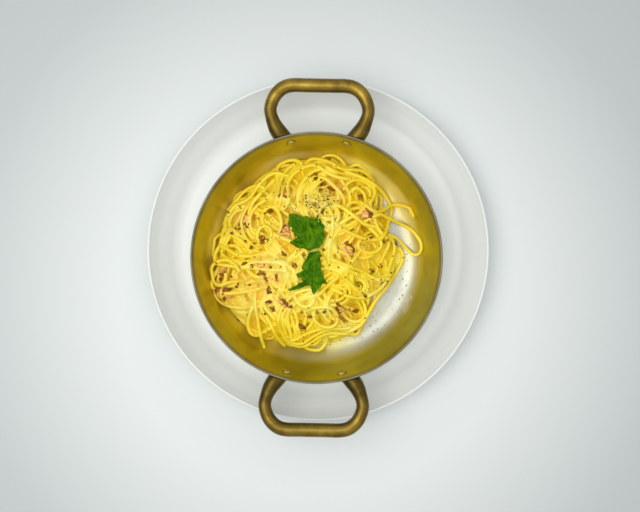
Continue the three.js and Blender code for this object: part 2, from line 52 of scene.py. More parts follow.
FULL_TURN = 2 * math.pi
rng = np.random.default_rng(5)

# ---------------------------------------------------------------- sizes, in millimetres

PLATE_LOW, PLATE_HIGH = [v * 1000 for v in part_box("plate")]
PAN_LOW, PAN_HIGH = [v * 1000 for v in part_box("pan")]
TURNED_SIDES = 192  # how many flat sides stand in for the round of the plate and the pan

PLATE_R = (PLATE_HIGH.x - PLATE_LOW.x) / 2
PLATE_CENTRE = Vector((0, PLATE_HIGH.y - PLATE_R, 0))
PLATE_TOP = PLATE_HIGH.z
PLATE_LIP_R = 1.1
PLATE_SKIN = 4.3
WELL_R = 121
WELL_Z = 6.5
FOOT_R = 99
FOOT_WIDTH = 6

PAN_R = 100
PAN_CENTRE = Vector(((PAN_LOW.x + PAN_HIGH.x) / 2, (PAN_LOW.y + PAN_HIGH.y) / 2, 0))
PAN_SKIN = 1.8
PAN_BEND_R = 18
PAN_WALL = math.radians(74)
RIM_Z = PAN_HIGH.z
FLOOR_Z = PAN_LOW.z + PAN_SKIN
WALL_RISE = RIM_Z - FLOOR_Z - PAN_BEND_R * (1 - math.cos(PAN_WALL))
FLOOR_R = (
    PAN_R
    - (WALL_RISE + PAN_SKIN * math.cos(PAN_WALL)) / math.tan(PAN_WALL)
    - (PAN_BEND_R + PAN_SKIN) * math.sin(PAN_WALL)
)

HANDLE_REACH = 142.4
HANDLE_WIDTH = 88
HANDLE_BAR_R = 5.7
HANDLE_LEG_R = 5.1
HANDLE_FOOT_R = 6.9
HANDLE_CORNER = (18, 21)
HANDLE_DROP = 5
HANDLE_SIDES = 28
HANDLE_GRAIN = 0.9  # cell of the remesh that fuses a handle
HANDLE_CLEAR = 0.3  # gap between a handle and the pan's wall
PAD_X = 25
PAD_HALF = (10, 3.6, 7.5)
RIVET_X = 22
RIVET_BELOW_RIM = 12.8
RIVET_R = 3.9
RIVET_DOME = 1.8
RIVET_SIDES = 28
BAR_Y = HANDLE_REACH - HANDLE_BAR_R
BAR_Z = RIM_Z - HANDLE_DROP
RIVET_Z = RIM_Z - RIVET_BELOW_RIM

NOODLE_R = 1.38
NOODLE_SIDES = 10
HEAP_R = 82.5
# Sides where the heap stops short or runs up the bend: direction, width and how much reach is lost.
HEAP_SIDES = [(-30, 24, 22), (19.5, 7, 19), (37.5, 5.5, 17), (-90, 24, 6), (200, 22, -5.5)]
HEAP_EDGE = 6
HEAP_HEIGHT = 32


# ---------------------------------------------------------------- mesh helpers


def mesh_object(name, vertices, faces, material, smooth=True, centre=PAN_CENTRE):
    """A mesh from millimetre vertices about a centre, and faces as lists of vertex numbers."""
    points = (np.asarray(vertices, float) + np.array(centre)) * MM
    mesh = bpy.data.meshes.new(name)
    mesh.from_pydata(points.tolist(), [], faces)
    mesh.update()
    mesh.polygons.foreach_set("use_smooth", [smooth] * len(mesh.polygons))
    made = bpy.data.objects.new(name, mesh)
    bpy.context.scene.collection.objects.link(made)
    mesh.materials.append(material)
    return made


def add_attribute(made, name, values):
    """A number on each vertex that the material can read."""
    attribute = made.data.attributes.new(name, "FLOAT", "POINT")
    attribute.data.foreach_set("value", np.asarray(values, np.float32))


def round_angles(count):
    """Angles at an even spacing all round."""
    return np.linspace(0, FULL_TURN, count, endpoint=False)


def waves(angle, *terms):
    """A sum of waves round an angle: the height, how many go round, and the phase of each."""
    return sum(height * np.sin(count * angle + phase) for height, count, phase in terms)


def mound(x, y, middle_x, middle_y, radius):
    """A bell curve of the distance from a point."""
    return np.exp(-0.5 * ((x - middle_x) ** 2 + (y - middle_y) ** 2) / radius**2)


def joined(parts):
    """The vertices and faces of many parts as those of one."""
    faces, count = [], 0
    for part_vertices, part_faces in parts:
        faces += [[i + count for i in face] for face in part_faces]
        count += len(part_vertices)
    return np.vstack([part_vertices for part_vertices, _ in parts]), faces


def turned(points, angle):
    """Points turned about the upright axis."""
    x, y = points[..., 0], points[..., 1]
    new_x = x * math.cos(angle) - y * math.sin(angle)
    new_y = x * math.sin(angle) + y * math.cos(angle)
    return np.concatenate([np.stack([new_x, new_y], -1), points[..., 2:]], -1)


def ring_faces(rings, sides, ends=2):
    """Faces over rings of vertices that are followed by the middle point of one end, or of both."""
    middle = rings * sides
    faces = []
    for j in range(sides):
        k = (j + 1) % sides
        faces.append((middle, j, k))
        for a in range(0, middle - sides, sides):
            b = a + sides
            faces.append((a + j, b + j, b + k, a + k))
        if ends == 2:
            faces.append((middle + 1, middle - sides + k, middle - sides + j))
    return faces


def lathe(profile, segments):
    """Vertices and faces of a profile of (radius, height) turned about the axis, on the axis at both ends."""
    profile = np.asarray(profile, float)
    radii, heights = profile[1:-1, 0, None], profile[1:-1, 1, None]
    angles = round_angles(segments)
    height = np.repeat(heights, segments, 1)
    body = np.stack([radii * np.cos(angles), radii * np.sin(angles), height], -1).reshape(-1, 3)
    vertices = np.vstack([body, [[0, 0, profile[0, 1]], [0, 0, profile[-1, 1]]]])
    return vertices, ring_faces(len(radii), segments)


def closed_sheet(upper, lower, spokes):
    """A solid between two polar sheets, each given as rings of spokes and then its middle point."""
    below = len(upper)
    faces = ring_faces(below // spokes, spokes, 1)
    faces += [[below + i for i in face[::-1]] for face in ring_faces(len(lower) // spokes, spokes, 1)]
    top_edge, low_edge = below - 1 - spokes, below + len(lower) - 1 - spokes
    for j in range(spokes):
        k = (j + 1) % spokes
        faces.append((top_edge + j, low_edge + j, low_edge + k, top_edge + k))
    return np.vstack([upper, lower]), faces


def rounded(points, steps, radius):
    """A profile with its inner corners rounded by short arcs."""
    points = [np.array(p, float) for p in points]
    line = [points[0]]
    for before, at, after in zip(points, points[1:], points[2:]):
        back, on = before - at, after - at
        cut = min(radius, 0.45 * np.linalg.norm(back), 0.45 * np.linalg.norm(on))
        start = at + back / np.linalg.norm(back) * cut
        end = at + on / np.linalg.norm(on) * cut
        for t in np.linspace(0, 1, steps):
            line.append((1 - t) ** 2 * start + 2 * t * (1 - t) * at + t * t * end)
    line.append(points[-1])
    return line


def smooth_path(points, spacing):
    """A Catmull-Rom curve through points, resampled at an even spacing."""
    p = np.asarray(points, float)
    p = np.vstack([2 * p[0] - p[1], p, 2 * p[-1] - p[-2]])
    t = np.linspace(0, 1, 24, endpoint=False)[:, None]
    line = [
        0.5 * (2 * b + (c - a) * t + (2 * a - 5 * b + 4 * c - d) * t**2 + (3 * b - a - 3 * c + d) * t**3)
        for a, b, c, d in zip(p, p[1:], p[2:], p[3:])
    ]
    line = np.vstack([*line, p[-2:-1]])
    along = np.concatenate([[0], np.cumsum(np.linalg.norm(np.diff(line, axis=0), axis=1))])
    count = max(3, int(round(along[-1] / spacing)) + 1)
    want = np.linspace(0, along[-1], count)
    return np.stack([np.interp(want, along, line[:, i]) for i in range(line.shape[1])], 1)


TUBE_END, TUBE_END_R = 0.45, 0.62  # how far a tube's end stands out, and its radius there, in radii


def tube(path, radii, sides):
    """Vertices and faces of a round bar along a path, with slightly rounded ends."""
    path = np.asarray(path, float)
    radii = np.broadcast_to(np.asarray(radii, float), (len(path),))
    tangent = np.gradient(path, axis=0)
    tangent /= np.linalg.norm(tangent, axis=1, keepdims=True)
    across = np.cross(tangent, [0, 0, 1.0])
    across /= np.maximum(np.linalg.norm(across, axis=1, keepdims=True), 1e-6)
    up = np.cross(across, tangent)
    end = TUBE_END * radii[0]
    path = np.vstack([path[0] - tangent[0] * end, path, path[-1] + tangent[-1] * end])
    radii = np.concatenate([[TUBE_END_R * radii[0]], radii, [TUBE_END_R * radii[-1]]])
    across = np.vstack([across[:1], across, across[-1:]])[:, None]
    up = np.vstack([up[:1], up, up[-1:]])[:, None]
    angle = round_angles(sides)[None, :, None]
    ring = (across * np.cos(angle) + up * np.sin(angle)) * radii[:, None, None]
    vertices = (path[:, None] + ring).reshape(-1, 3)
    count = len(path)
    i = np.arange(count - 1)[:, None] * sides
    j = np.arange(sides)[None]
    k = (j + 1) % sides
    quads = np.stack([i + j, i + k, i + sides + k, i + sides + j], -1).reshape(-1, 4)
    caps = [list(range(sides - 1, -1, -1)), list(range((count - 1) * sides, count * sides))]
    return vertices, quads.tolist() + caps


# ---------------------------------------------------------------- materials


def linear(red, green, blue):
    """A colour given as it looks on a screen, 0 to 255, as the shader's linear values."""
    return tuple(
        (c / 255 / 12.92) if c / 255 <= 0.04045 else ((c / 255 + 0.055) / 1.055) ** 2.4
        for c in (red, green, blue)
    )


class Look:
    """A material with a Principled shader, and short ways to add the nodes that it needs."""

    def __init__(self, name, inputs):
        self.material = bpy.data.materials.new(name)
        self.material.use_nodes = True
        self.shader = self.material.node_tree.nodes["Principled BSDF"]
        for socket, value in inputs.items():
            self.shader.inputs[socket].default_value = value

    def node(self, kind, **settings):
        made = self.material.node_tree.nodes.new(kind)
        for key, value in settings.items():
            if key in made.inputs:
                made.inputs[key].default_value = value
            else:
                setattr(made, key, value)
        return made

    def link(self, source, target, socket):
        self.material.node_tree.links.new(source, target.inputs[socket])

    def number(self, name):
        """A number that the vertices carry."""
        return self.node("ShaderNodeAttribute", attribute_name=name).outputs["Fac"]

    def noise(self, scale, detail=3, roughness=0.55, stretch=(1, 1, 1)):
        """Noise over the object's own metres, with an optional stretch."""
        place = self.node("ShaderNodeTexCoord")
        scaled = self.node("ShaderNodeMapping", Scale=stretch)
        made = self.node("ShaderNodeTexNoise", Scale=scale, Detail=detail, Roughness=roughness)
        self.link(place.outputs["Object"], scaled, "Vector")
        self.link(scaled.outputs["Vector"], made, "Vector")
        return made.outputs["Fac"]

    def ramp(self, source, *stops):
        """A colour ramp driven by a number: stops of (place, colour)."""
        made = self.node("ShaderNodeValToRGB")
        elements = made.color_ramp.elements
        while len(elements) < len(stops):
            elements.new(0.5)
        for element, (place, colour) in zip(elements, stops):
            element.position = place
            element.color = (*colour, 1)
        self.link(source, made, "Fac")
        return made.outputs["Color"]

    def colours(self, source, *stops):
        """A ramp whose colours are given as they look on a screen."""
        return self.ramp(source, *[(place, linear(*colour)) for place, colour in stops])

    def levels(self, source, *stops):
        """A ramp of plain numbers."""
        return self.ramp(source, *[(place, (level, level, level)) for place, level in stops])

    def mix(self, first, second, share):
        """The second colour over the first, as strongly as a number says."""
        made = self.node("ShaderNodeMix", data_type="RGBA")
        self.link(share, made, 0)
        self.link(first, made, 6)
        self.link(second, made, 7)
        return made.outputs[2]

    def shaded(self, colour, tint):
        """A colour multiplied by a tint."""
        made = self.node("ShaderNodeMix", data_type="RGBA", blend_type="MULTIPLY")
        made.inputs[0].default_value = 1.0
        self.link(colour, made, 6)
        self.link(tint, made, 7)
        return made.outputs[2]

    def paint(self, colour):
        self.link(colour, self.shader, "Base Color")

    def roughen(self, source, *stops):
        self.link(self.levels(source, *stops), self.shader, "Roughness")

    def grain(self, fine, roughness, strength, distance):
        """Fine noise that shows in both the roughness, as stops of a ramp, and the height."""
        self.roughen(fine, *roughness)
        bump = self.node("ShaderNodeBump", Strength=strength, Distance=distance)
        self.link(fine, bump, "Height")
        self.link(bump.outputs["Normal"], self.shader, "Normal")


def porcelain():
    look = Look("porcelain", {"Coat Weight": 0.2, "Coat Roughness": 0.15})
    look.paint(look.colours(look.noise(9, 2), (0.3, (227, 230, 225)), (0.7, (232, 235, 231))))
    look.grain(look.noise(60, 2), [(0.2, 0.30), (0.8, 0.38)], 0.06, 0.0004)
    return look.material


def pan_metal():
    """Satin metal, silvery on the floor, with a painted golden reflection of the pasta up the wall, on the
    bend and on the floor beside it, and painted shade where the wall mirrors a darker room.
    """
    look = Look("pan_metal", {})
    cloud = look.noise(30)
    pasta_reflection = look.number("pasta_reflection")
    bend = look.number("bend")
    floor = look.colours(cloud, (0.3, (178, 180, 167)), (0.7, (200, 202, 192)))
    # The golden wall colour is a painted reflection of the pasta.
    wall = look.colours(cloud, (0.3, (160, 148, 20)), (0.55, (186, 174, 36)), (0.75, (186, 178, 70)))
    # A painted highlight: the pale gold of the pasta mirrored in the bend.
    glow = look.colours(bend, (0.6, (228, 202, 36)), (0.95, (244, 234, 144)))
    # A darker grey for the rim's top edge.
    grey_lip = look.colours(cloud, (0.3, (104, 98, 70)), (0.7, (140, 134, 104)))
    # Painted shade: the wall darker where it would mirror a darker room.
    dusk = look.ramp(look.number("dim"), (0.0, (1, 1, 1)), (1.0, (0.82, 0.82, 0.78)))
    lit = look.mix(look.mix(floor, wall, pasta_reflection), glow, bend)
    edged = look.mix(lit, grey_lip, look.number("dark_lip"))
    look.paint(look.shaded(edged, dusk))
    look.link(look.levels(pasta_reflection, (0.0, 0.55), (1.0, 0.6)), look.shader, "Metallic")
    look.grain(look.noise(140, 3, 0.6, stretch=(1, 1, 6)), [(0.25, 0.30), (0.8, 0.38)], 0.05, 0.0003)
    return look.material


def aged_brass():
    """Brass with painted shade: the legs near the pan are painted darker than the bar, and the front handle
    darker than the back one.
    """
    look = Look("aged_brass", {"Metallic": 1.0, "Coat Weight": 0.12, "Coat Roughness": 0.2})
    patch = look.noise(70, 5, 0.62)
    brass = look.colours(patch, (0.28, (104, 84, 32)), (0.5, (146, 120, 46)), (0.75, (178, 150, 66)))
    painted_shade = look.ramp(look.number("unshaded"), (0.0, (0.33, 0.33, 0.31)), (1.0, (1, 1, 1)))
    look.paint(look.shaded(brass, painted_shade))
    look.grain(look.noise(420, 4, 0.6), [(0.25, 0.26), (0.75, 0.44)], 0.16, 0.0003)
    return look.material


def rubbed_brass():
    """Brass rubbed pale by cleaning."""
    look = Look("rubbed_brass", {"Metallic": 1.0})
    cloud = look.noise(300)
    look.paint(look.colours(cloud, (0.3, (176, 160, 92)), (0.7, (206, 192, 136))))
    look.roughen(cloud, (0.3, 0.28), (0.7, 0.4))
    return look.material


def with_cream_and_gleam(look, under, cloud):
    """A colour turned paler where the vertices say that cream lies; a few of these spots are also painted
    highlights of wet sauce.
    """
    pale = look.colours(cloud, (0.35, (250, 231, 98)), (0.65, (254, 241, 138)))
    return look.mix(under, pale, look.number("cream"))


def pasta():
    """Moist yellow pasta: each strand its own shade, paler and creamier where sauce clings to it."""
    soft = {"Subsurface Weight": 0.35, "Subsurface Radius": (1.0, 0.75, 0.2), "Subsurface Scale": 0.0016}
    look = Look("spaghetti", {"Specular IOR Level": 0.45, **soft})
    cloud = look.noise(42, 3, 0.6)
    yolk = look.colours(cloud, (0.34, (248, 218, 34)), (0.54, (252, 226, 58)), (0.72, (254, 236, 90)))
    shades = ((0.0, (0.93, 0.90, 0.74)), (0.5, (0.98, 0.98, 0.92)), (1.0, (1, 1, 1)))
    own = look.shaded(yolk, look.ramp(look.number("tone"), *shades))
    tan = look.colours(cloud, (0.3, (240, 200, 88)), (0.7, (250, 220, 138)))
    look.paint(with_cream_and_gleam(look, look.mix(own, tan, look.number("blush")), cloud))
    look.grain(look.noise(300, 3, 0.6), [(0.3, 0.30), (0.7, 0.48)], 0.2, 0.0004)
    return look.material


def sauce():
    """Egg and cheese sauce that fills the gaps between the strands."""
    soft = {"Subsurface Weight": 0.3, "Subsurface Radius": (1.0, 0.7, 0.2), "Subsurface Scale": 0.0015}
    look = Look("sauce", soft)
    cloud = look.noise(50, 4, 0.6)
    yolk = look.colours(cloud, (0.3, (243, 208, 22)), (0.5, (251, 224, 50)), (0.72, (254, 236, 84)))
    tan = look.colours(cloud, (0.3, (230, 184, 92)), (0.7, (248, 216, 140)))
    look.paint(with_cream_and_gleam(look, look.mix(yolk, tan, look.number("blush")), cloud))
    look.grain(look.noise(330, 4, 0.6), [(0.3, 0.26), (0.7, 0.5)], 0.35, 0.0006)
    return look.material


def bacon_look():
    """Fried bacon: brown-red lean, pink fat, darker crisp spots."""
    look = Look("bacon", {"Specular IOR Level": 0.3})
    streak = look.noise(300, 4, 0.6, stretch=(1, 1.8, 1))
    meat = look.colours(streak, (0.34, (176, 104, 26)), (0.46, (226, 158, 66)), (0.6, (246, 204, 128)))
    brown = look.colours(streak, (0.34, (92, 50, 2)), (0.64, (164, 98, 14)))
    ragged = look.node("ShaderNodeMath", operation="MULTIPLY_ADD")
    look.link(look.noise(420, 3, 0.6), ragged, 0)
    ragged.inputs[1].default_value = 1.2
    look.link(look.number("crisp"), ragged, 2)
    edge = look.levels(ragged.outputs["Value"], (0.98, 0), (1.0, 1))
    look.paint(look.mix(meat, brown, edge))
    look.grain(look.noise(600, 3, 0.6), [(0.3, 0.28), (0.7, 0.5)], 0.4, 0.0005)
    return look.material


def herb():
    """A deep green leaf in lighter and darker blotches, with paler veins."""
    soft = {"Subsurface Weight": 0.08, "Subsurface Radius": (0.3, 0.8, 0.1), "Subsurface Scale": 0.001}
    look = Look("herb", {"Specular IOR Level": 0.06, **soft})
    vein = look.number("vein")
    blotch = look.noise(190, 4, 0.65)
    green = look.colours(blotch, (0.3, (36, 77, 0)), (0.5, (62, 109, 1)), (0.72, (100, 150, 8)))
    pale = look.colours(vein, (0.0, (56, 102, 1)), (1.0, (92, 138, 12)))
    look.paint(look.mix(green, pale, vein))
    look.grain(look.noise(700, 3, 0.6), [(0.3, 0.42), (0.7, 0.6)], 0.3, 0.0003)
    return look.material


def stalk_look():
    """Pale green, almost white in places."""
    look = Look("stalk", {"Roughness": 0.45})
    look.paint(look.colours(look.noise(400, 2), (0.35, (144, 168, 52)), (0.65, (196, 204, 108))))
    return look.material


def pepper_look():
    look = Look("pepper", {"Roughness": 0.7})
    look.paint(look.colours(look.noise(900, 2), (0.35, (66, 44, 2)), (0.7, (124, 100, 16))))
    return look.material


def cheese_look():
    look = Look("cheese", {"Roughness": 0.5, "Subsurface Weight": 0.2, "Subsurface Scale": 0.001})
    look.paint(look.colours(look.noise(500, 2), (0.3, (247, 220, 102)), (0.7, (253, 237, 156))))
    return look.material


def film_look():
    """Thin sauce left on the pan's floor."""
    look = Look("sauce_film", {"Roughness": 0.22})
    cloud = look.noise(120, 4, 0.6)
    look.paint(look.colours(cloud, (0.35, (240, 236, 204)), (0.7, (248, 247, 234))))
    look.link(look.levels(cloud, (0.42, 0.03), (0.75, 0.35)), look.shader, "Alpha")
    return look.material


# ---------------------------------------------------------------- plate, pan, handles, rivets


def make_plate(material):
    rise = PLATE_TOP - WELL_Z
    under = WELL_Z - PLATE_SKIN
    foot_in = FOOT_R - FOOT_WIDTH
    # The rim rises out of the flat well in a long hollow curve.
    hollow = [
        (WELL_R - 13, WELL_Z),
        (WELL_R - 7, WELL_Z + 0.2),
        (WELL_R - 1.6, WELL_Z + 1.4),
        (WELL_R + 2.8, WELL_Z + 3.6),
        (PLATE_R - 9, WELL_Z + 0.52 * rise),
        (PLATE_R - 4.5, PLATE_TOP - 3.4),
        (PLATE_R - 2.0, PLATE_TOP - 0.7),
    ]
    lip_r, lip_z = PLATE_R - PLATE_LIP_R, PLATE_TOP - PLATE_LIP_R
    lip = [
        (lip_r + PLATE_LIP_R * math.cos(a), lip_z + PLATE_LIP_R * math.sin(a))
        for a in np.linspace(math.radians(125), math.radians(-30), 9)
    ]
    below = [
        lip[-1],
        (PLATE_R - 4.6, WELL_Z + 0.46 * rise),
        (WELL_R + 5.5, WELL_Z - 0.9),
        (WELL_R, under + 1),
        (FOOT_R + 1.5, under + 0.3),
        (FOOT_R, 0),
        (foot_in, 0),
        (foot_in - 1.5, under),
        (0, under),
    ]
    profile = [(0, WELL_Z), *smooth_path(hollow, 0.5), *lip, *rounded(below, 4, 2.2)[1:]]
    vertices, faces = lathe(profile, TURNED_SIDES)
    made = mesh_object("dinner_plate", vertices, faces, material, centre=PLATE_CENTRE)
    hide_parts("plate")
    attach(made, "root")


def wall_line(inwards, level):
    """The pan's inner surface moved inwards, as (radius, height) from the floor's edge up to a level."""
    r = PAN_BEND_R - inwards
    line = [
        (FLOOR_R + r * math.sin(a), FLOOR_Z + PAN_BEND_R - r * math.cos(a))
        for a in np.linspace(0, PAN_WALL, 14)
    ]
    end_r, end_z = line[-1]
    for t in np.linspace(0, 1, 7)[1:]:
        z = end_z + (level - end_z) * t
        line.append((end_r + (z - end_z) / math.tan(PAN_WALL), z))
    return line


def lobe(angle, direction, width):
    """A bell curve of the angle about a direction, both ways as wide as told, in degrees."""
    off = (np.degrees(angle) - direction + 180) % 360 - 180
    return np.exp(-0.5 * (off / width) ** 2)


# Where a painted reflection of the pasta lies on the pan's bend: direction, width, strength and radius.
BEND_GLOWS = [(44, 24, 1.0, 83), (110, 11, 0.5, 86), (172, 28, 0.32, 88), (300, 40, -0.1, 86)]
BEND_GLOW_REACH = 7
FAINT_GLOW, FAINT_GLOW_R, FAINT_GLOW_REACH = 0.25, 86, 6  # the painted reflection that goes all round
BARE_SIDES = [(-42, 27, 0.75), (24, 27, 0.72)]  # where the floor lies bare: direction, width and how bare
DUSKY_SIDES = [(132, 20), (228, 20)]  # directions and widths where painted shade darkens the wall, a painted reflection of a darker room
# How strongly the floor gets a painted reflection of the pasta at its edge, how far out, and how much less
# far where it is bare.
MIRROR_MOST, MIRROR_REACH, MIRROR_LOSS = 0.85, 9, 6
MIRRORED_GLOW = 0.35
REFLECTION_FROM, REFLECTION_OVER = 81, 7  # radius where the painted golden reflection of the pasta begins, and over how much it grows
# radius where the painted shade of the darker room begins, and over how much it grows
DUSK_FROM, DUSK_OVER = 90, 4
DARK_LIP_DEPTH = 1.6  # depth of the rim's darker grey edge


def bend_glow(r, angle):
    """How strongly a painted reflection of the pasta lies on the pan's bend."""
    glow = FAINT_GLOW * np.exp(-(((r - FAINT_GLOW_R) / FAINT_GLOW_REACH) ** 2))
    for direction, width, strength, radius in BEND_GLOWS:
        near = np.exp(-(((r - radius) / BEND_GLOW_REACH) ** 2))
        glow = glow + strength * lobe(angle, direction, width) * near
    return np.clip(glow, 0, 1)


def near_pasta(r, angle):
    """How strongly a painted reflection of the pasta lies on the pan's floor beside it, least where the floor
    lies widely bare.
    """
    bare = sum(share * lobe(angle, direction, width) for direction, width, share in BARE_SIDES)
    away = np.maximum(r - heap_reach(angle), 0)
    return (MIRROR_MOST - bare) * np.exp(-((away / (MIRROR_REACH - MIRROR_LOSS * bare)) ** 2))


def make_pan(material):
    inner = wall_line(0, RIM_Z - 0.7)
    outer = wall_line(-PAN_SKIN, RIM_Z - 0.9)
    lip = [
        (inner[-1][0] + 0.25, RIM_Z - 0.22),
        (inner[-1][0] + 0.7, RIM_Z),
        (outer[-1][0] - 0.55, RIM_Z),
        (outer[-1][0] - 0.1, RIM_Z - 0.3),
    ]
    under = FLOOR_Z - PAN_SKIN
    floor = [(0, FLOOR_Z)] + [(FLOOR_R * share, FLOOR_Z) for share in np.linspace(0.5, 1, 13)[:-1]]
    base = [(FLOOR_R * 0.5, under), (0, under)]
    vertices, faces = lathe(floor + inner + lip + outer[::-1] + base, TURNED_SIDES)
    made = mesh_object("serving_pan", vertices, faces, material)
    r = np.hypot(vertices[:, 0], vertices[:, 1])
    angle = np.arctan2(vertices[:, 1], vertices[:, 0])
    inside = np.ones(len(vertices))
    inside[(len(floor) + len(inner) - 1) * TURNED_SIDES :] = 0
    # Painted reflections of the pasta: golden up the wall and on the floor beside it, and pale gold on the
    # bend.
    mirrored = near_pasta(r, angle)
    dusk = sum(lobe(angle, direction, width) for direction, width in DUSKY_SIDES)
    add_attribute(made, "pasta_reflection", inside * np.maximum(np.clip((r - REFLECTION_FROM) / REFLECTION_OVER, 0, 1), mirrored))
    add_attribute(made, "bend", inside * np.minimum(1, bend_glow(r, angle) + MIRRORED_GLOW * mirrored))
    add_attribute(made, "dark_lip", vertices[:, 2] > RIM_Z - DARK_LIP_DEPTH)
    # Painted shade on the upper wall, in the directions of the darker room.
    add_attribute(made, "dim", inside * np.clip((r - DUSK_FROM) / DUSK_OVER, 0, 1) * dusk)
    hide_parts("pan")
    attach(made, "root")


def wall_outside(z):
    return PAN_R - (RIM_Z - z) / math.tan(PAN_WALL)


def eased(value, low, high):
    """A smooth step from 0 at low to 1 at high."""
    t = np.clip((value - low) / (high - low), 0, 1)
    return t * t * (3 - 2 * t)


def handle_loop():
    """A handle's bar and legs, thicker towards the wall and in the middle of the bar."""
    side_x = HANDLE_WIDTH / 2 - HANDLE_LEG_R
    corner_x, corner_y = HANDLE_CORNER
    half = [
        (PAD_X - 0.5, wall_outside(RIVET_Z) - 5, RIVET_Z + 1),
        (PAD_X + 5.5, wall_outside(BAR_Z) - 1, RIVET_Z + 4.5),
        (side_x - 3.4, BAR_Y - corner_y - 10.5, BAR_Z - 1.4),
    ]
    for a in np.linspace(0, math.pi / 2, 5):
        half.append((side_x - corner_x * (1 - math.cos(a)), BAR_Y - corner_y * (1 - math.sin(a)), BAR_Z))
    half.append((side_x - corner_x - 10, BAR_Y, BAR_Z))
    path = smooth_path([(-x, y, z) for x, y, z in half] + half[::-1], 2.0)
    off = np.abs(np.linspace(0, 1, len(path)) - 0.5)
    radii = (
        HANDLE_LEG_R
        + (HANDLE_BAR_R - HANDLE_LEG_R) * eased(0.5 - off, 0.16, 0.36)
        + (HANDLE_FOOT_R - HANDLE_LEG_R) * eased(off, 0.33, 0.44)
    )
    return tube(path, radii, HANDLE_SIDES)


def handle_pads():
    """The two flattened feet of a handle, against the wall."""
    ball = bmesh.new()
    bmesh.ops.create_icosphere(ball, subdivisions=4, radius=1.0)
    ball.verts.index_update()
    points = np.array([v.co[:] for v in ball.verts])
    faces = [[v.index for v in f.verts] for f in ball.faces]
    ball.free()
    pads = []
    for side in (-1, 1):
        tilt = -side * math.asin(PAD_X / wall_outside(RIVET_Z))
        spot = (side * PAD_X, math.cos(tilt) * (wall_outside(RIVET_Z) - 0.2), RIVET_Z)
        pads.append((turned(points * PAD_HALF, tilt) + spot, faces))
    return pads


def fuse(made):
    """Turns the overlapping shells of a piece into one skin with soft joins."""
    remesh = made.modifiers.new("fuse", "REMESH")
    remesh.mode = "VOXEL"
    remesh.voxel_size = HANDLE_GRAIN * MM
    remesh.use_smooth_shade = True
    soften = made.modifiers.new("soften", "SMOOTH")
    soften.factor = 0.5
    soften.iterations = 5
    graph = bpy.context.evaluated_depsgraph_get()
    fused = bpy.data.meshes.new_from_object(made.evaluated_get(graph))
    made.modifiers.clear()
    old = made.data
    made.data = fused
    bpy.data.meshes.remove(old)


def make_handle(name, node_name, at_front, lit_range, material):
    """A cast loop with riveted feet, fused by a fine remesh and fitted to the wall."""
    vertices, faces = joined([handle_loop(), *handle_pads()])
    made = mesh_object(name, vertices, faces, material)
    fuse(made)
    mesh = made.data
    points = np.zeros(len(mesh.vertices) * 3)
    mesh.vertices.foreach_get("co", points)
    points = points.reshape(-1, 3) / MM - np.array(PAN_CENTRE)
    # Nothing of the foot reaches into the wall.
    away = np.hypot(points[:, 0], points[:, 1])
    least = wall_outside(points[:, 2]) + HANDLE_CLEAR
    points[:, :2] *= np.maximum(1, least / np.maximum(away, 1e-6))[:, None]
    outwards = eased(points[:, 1], wall_outside(RIM_Z) + 4, BAR_Y - 4)
    if at_front:
        points[:, :2] *= -1
    mesh.vertices.foreach_set("co", ((points + np.array(PAN_CENTRE)) * MM).ravel())
    mesh.update()
    if not mesh.materials:
        mesh.materials.append(material)
    mesh.polygons.foreach_set("use_smooth", [True] * len(mesh.polygons))
    # Painted shade along the handle, from the first number near the pan to the second at the bar.
    add_attribute(made, "unshaded", lit_range[0] + (lit_range[1] - lit_range[0]) * outwards)
    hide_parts(node_name)
    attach(made, "root")


def make_rivet(end, hand, material):
    """A domed rivet head set on the wall's inside."""
    side = -1 if hand == "left" else 1
    back = 1 if end == "back" else -1
    inside = wall_outside(RIVET_Z) - PAN_SKIN / math.sin(PAN_WALL)
    angle = math.atan2(back * math.sqrt(inside**2 - RIVET_X**2), side * RIVET_X)
    level = -math.sin(PAN_WALL)
    inwards = Vector((math.cos(angle) * level, math.sin(angle) * level, math.cos(PAN_WALL)))
    dome = [
        (RIVET_R * math.sin(a), RIVET_DOME * (0.25 + 0.75 * math.cos(a)))
        for a in np.linspace(0, math.pi / 2, 9)
    ]
    vertices, faces = lathe([*dome, (RIVET_R, -0.1), (0, -0.1)], RIVET_SIDES)
    tilt = Vector((0, 0, 1)).rotation_difference(inwards).to_matrix()
    spot = Vector((inside * math.cos(angle), inside * math.sin(angle), RIVET_Z)) + inwards * 0.2
    placed = vertices @ np.array(tilt).T + np.array(spot)
    made = mesh_object(f"rivet_head_{end}_{hand}", placed, faces, material)
    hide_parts(f"rivet_{end}_{hand}")
    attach(made, "root")


# ---------------------------------------------------------------- the heap's form


def rest_height(distance, radius):
    """Height at which a bar of some radius rests on the pan's inside, at a distance from the middle."""
    distance = np.asarray(distance, float)
    r = PAN_BEND_R - radius
    out = distance - FLOOR_R
    start = r * math.sin(PAN_WALL)
    bend = FLOOR_Z + PAN_BEND_R - np.sqrt(np.maximum(r * r - np.clip(out, 0, start) ** 2, 0))
    wall = FLOOR_Z + PAN_BEND_R - r * math.cos(PAN_WALL) + (out - start) * math.tan(PAN_WALL)
    return np.where(out < start, bend, wall)


def heap_reach(angle):
    """Reach of the heap at an angle about the pan's middle."""
    reach = HEAP_R + 1.2 * np.sin(5 * angle + 0.7) + 0.9 * np.sin(9 * angle + 2)
    for direction, width, lost in HEAP_SIDES:
        reach = reach - lost * lobe(angle, direction, width)
    return reach


def heap_top(x, y):
    """Height that the heap is planned to have: a flat dome with a few broad lumps."""
    distance = np.hypot(x, y)
    share = np.minimum(1, distance / heap_reach(np.arctan2(y, x)))
    lumps = np.sin(x / 11 + 0.8) * np.cos(y / 13 - 0.4)
    dome = (HEAP_HEIGHT - HEAP_EDGE) * (1 - share**2.2)
    return rest_height(distance, 0) + HEAP_EDGE + dome + 0.9 * lumps * (1 - share**4)


# ---------------------------------------------------------------- laying the strands

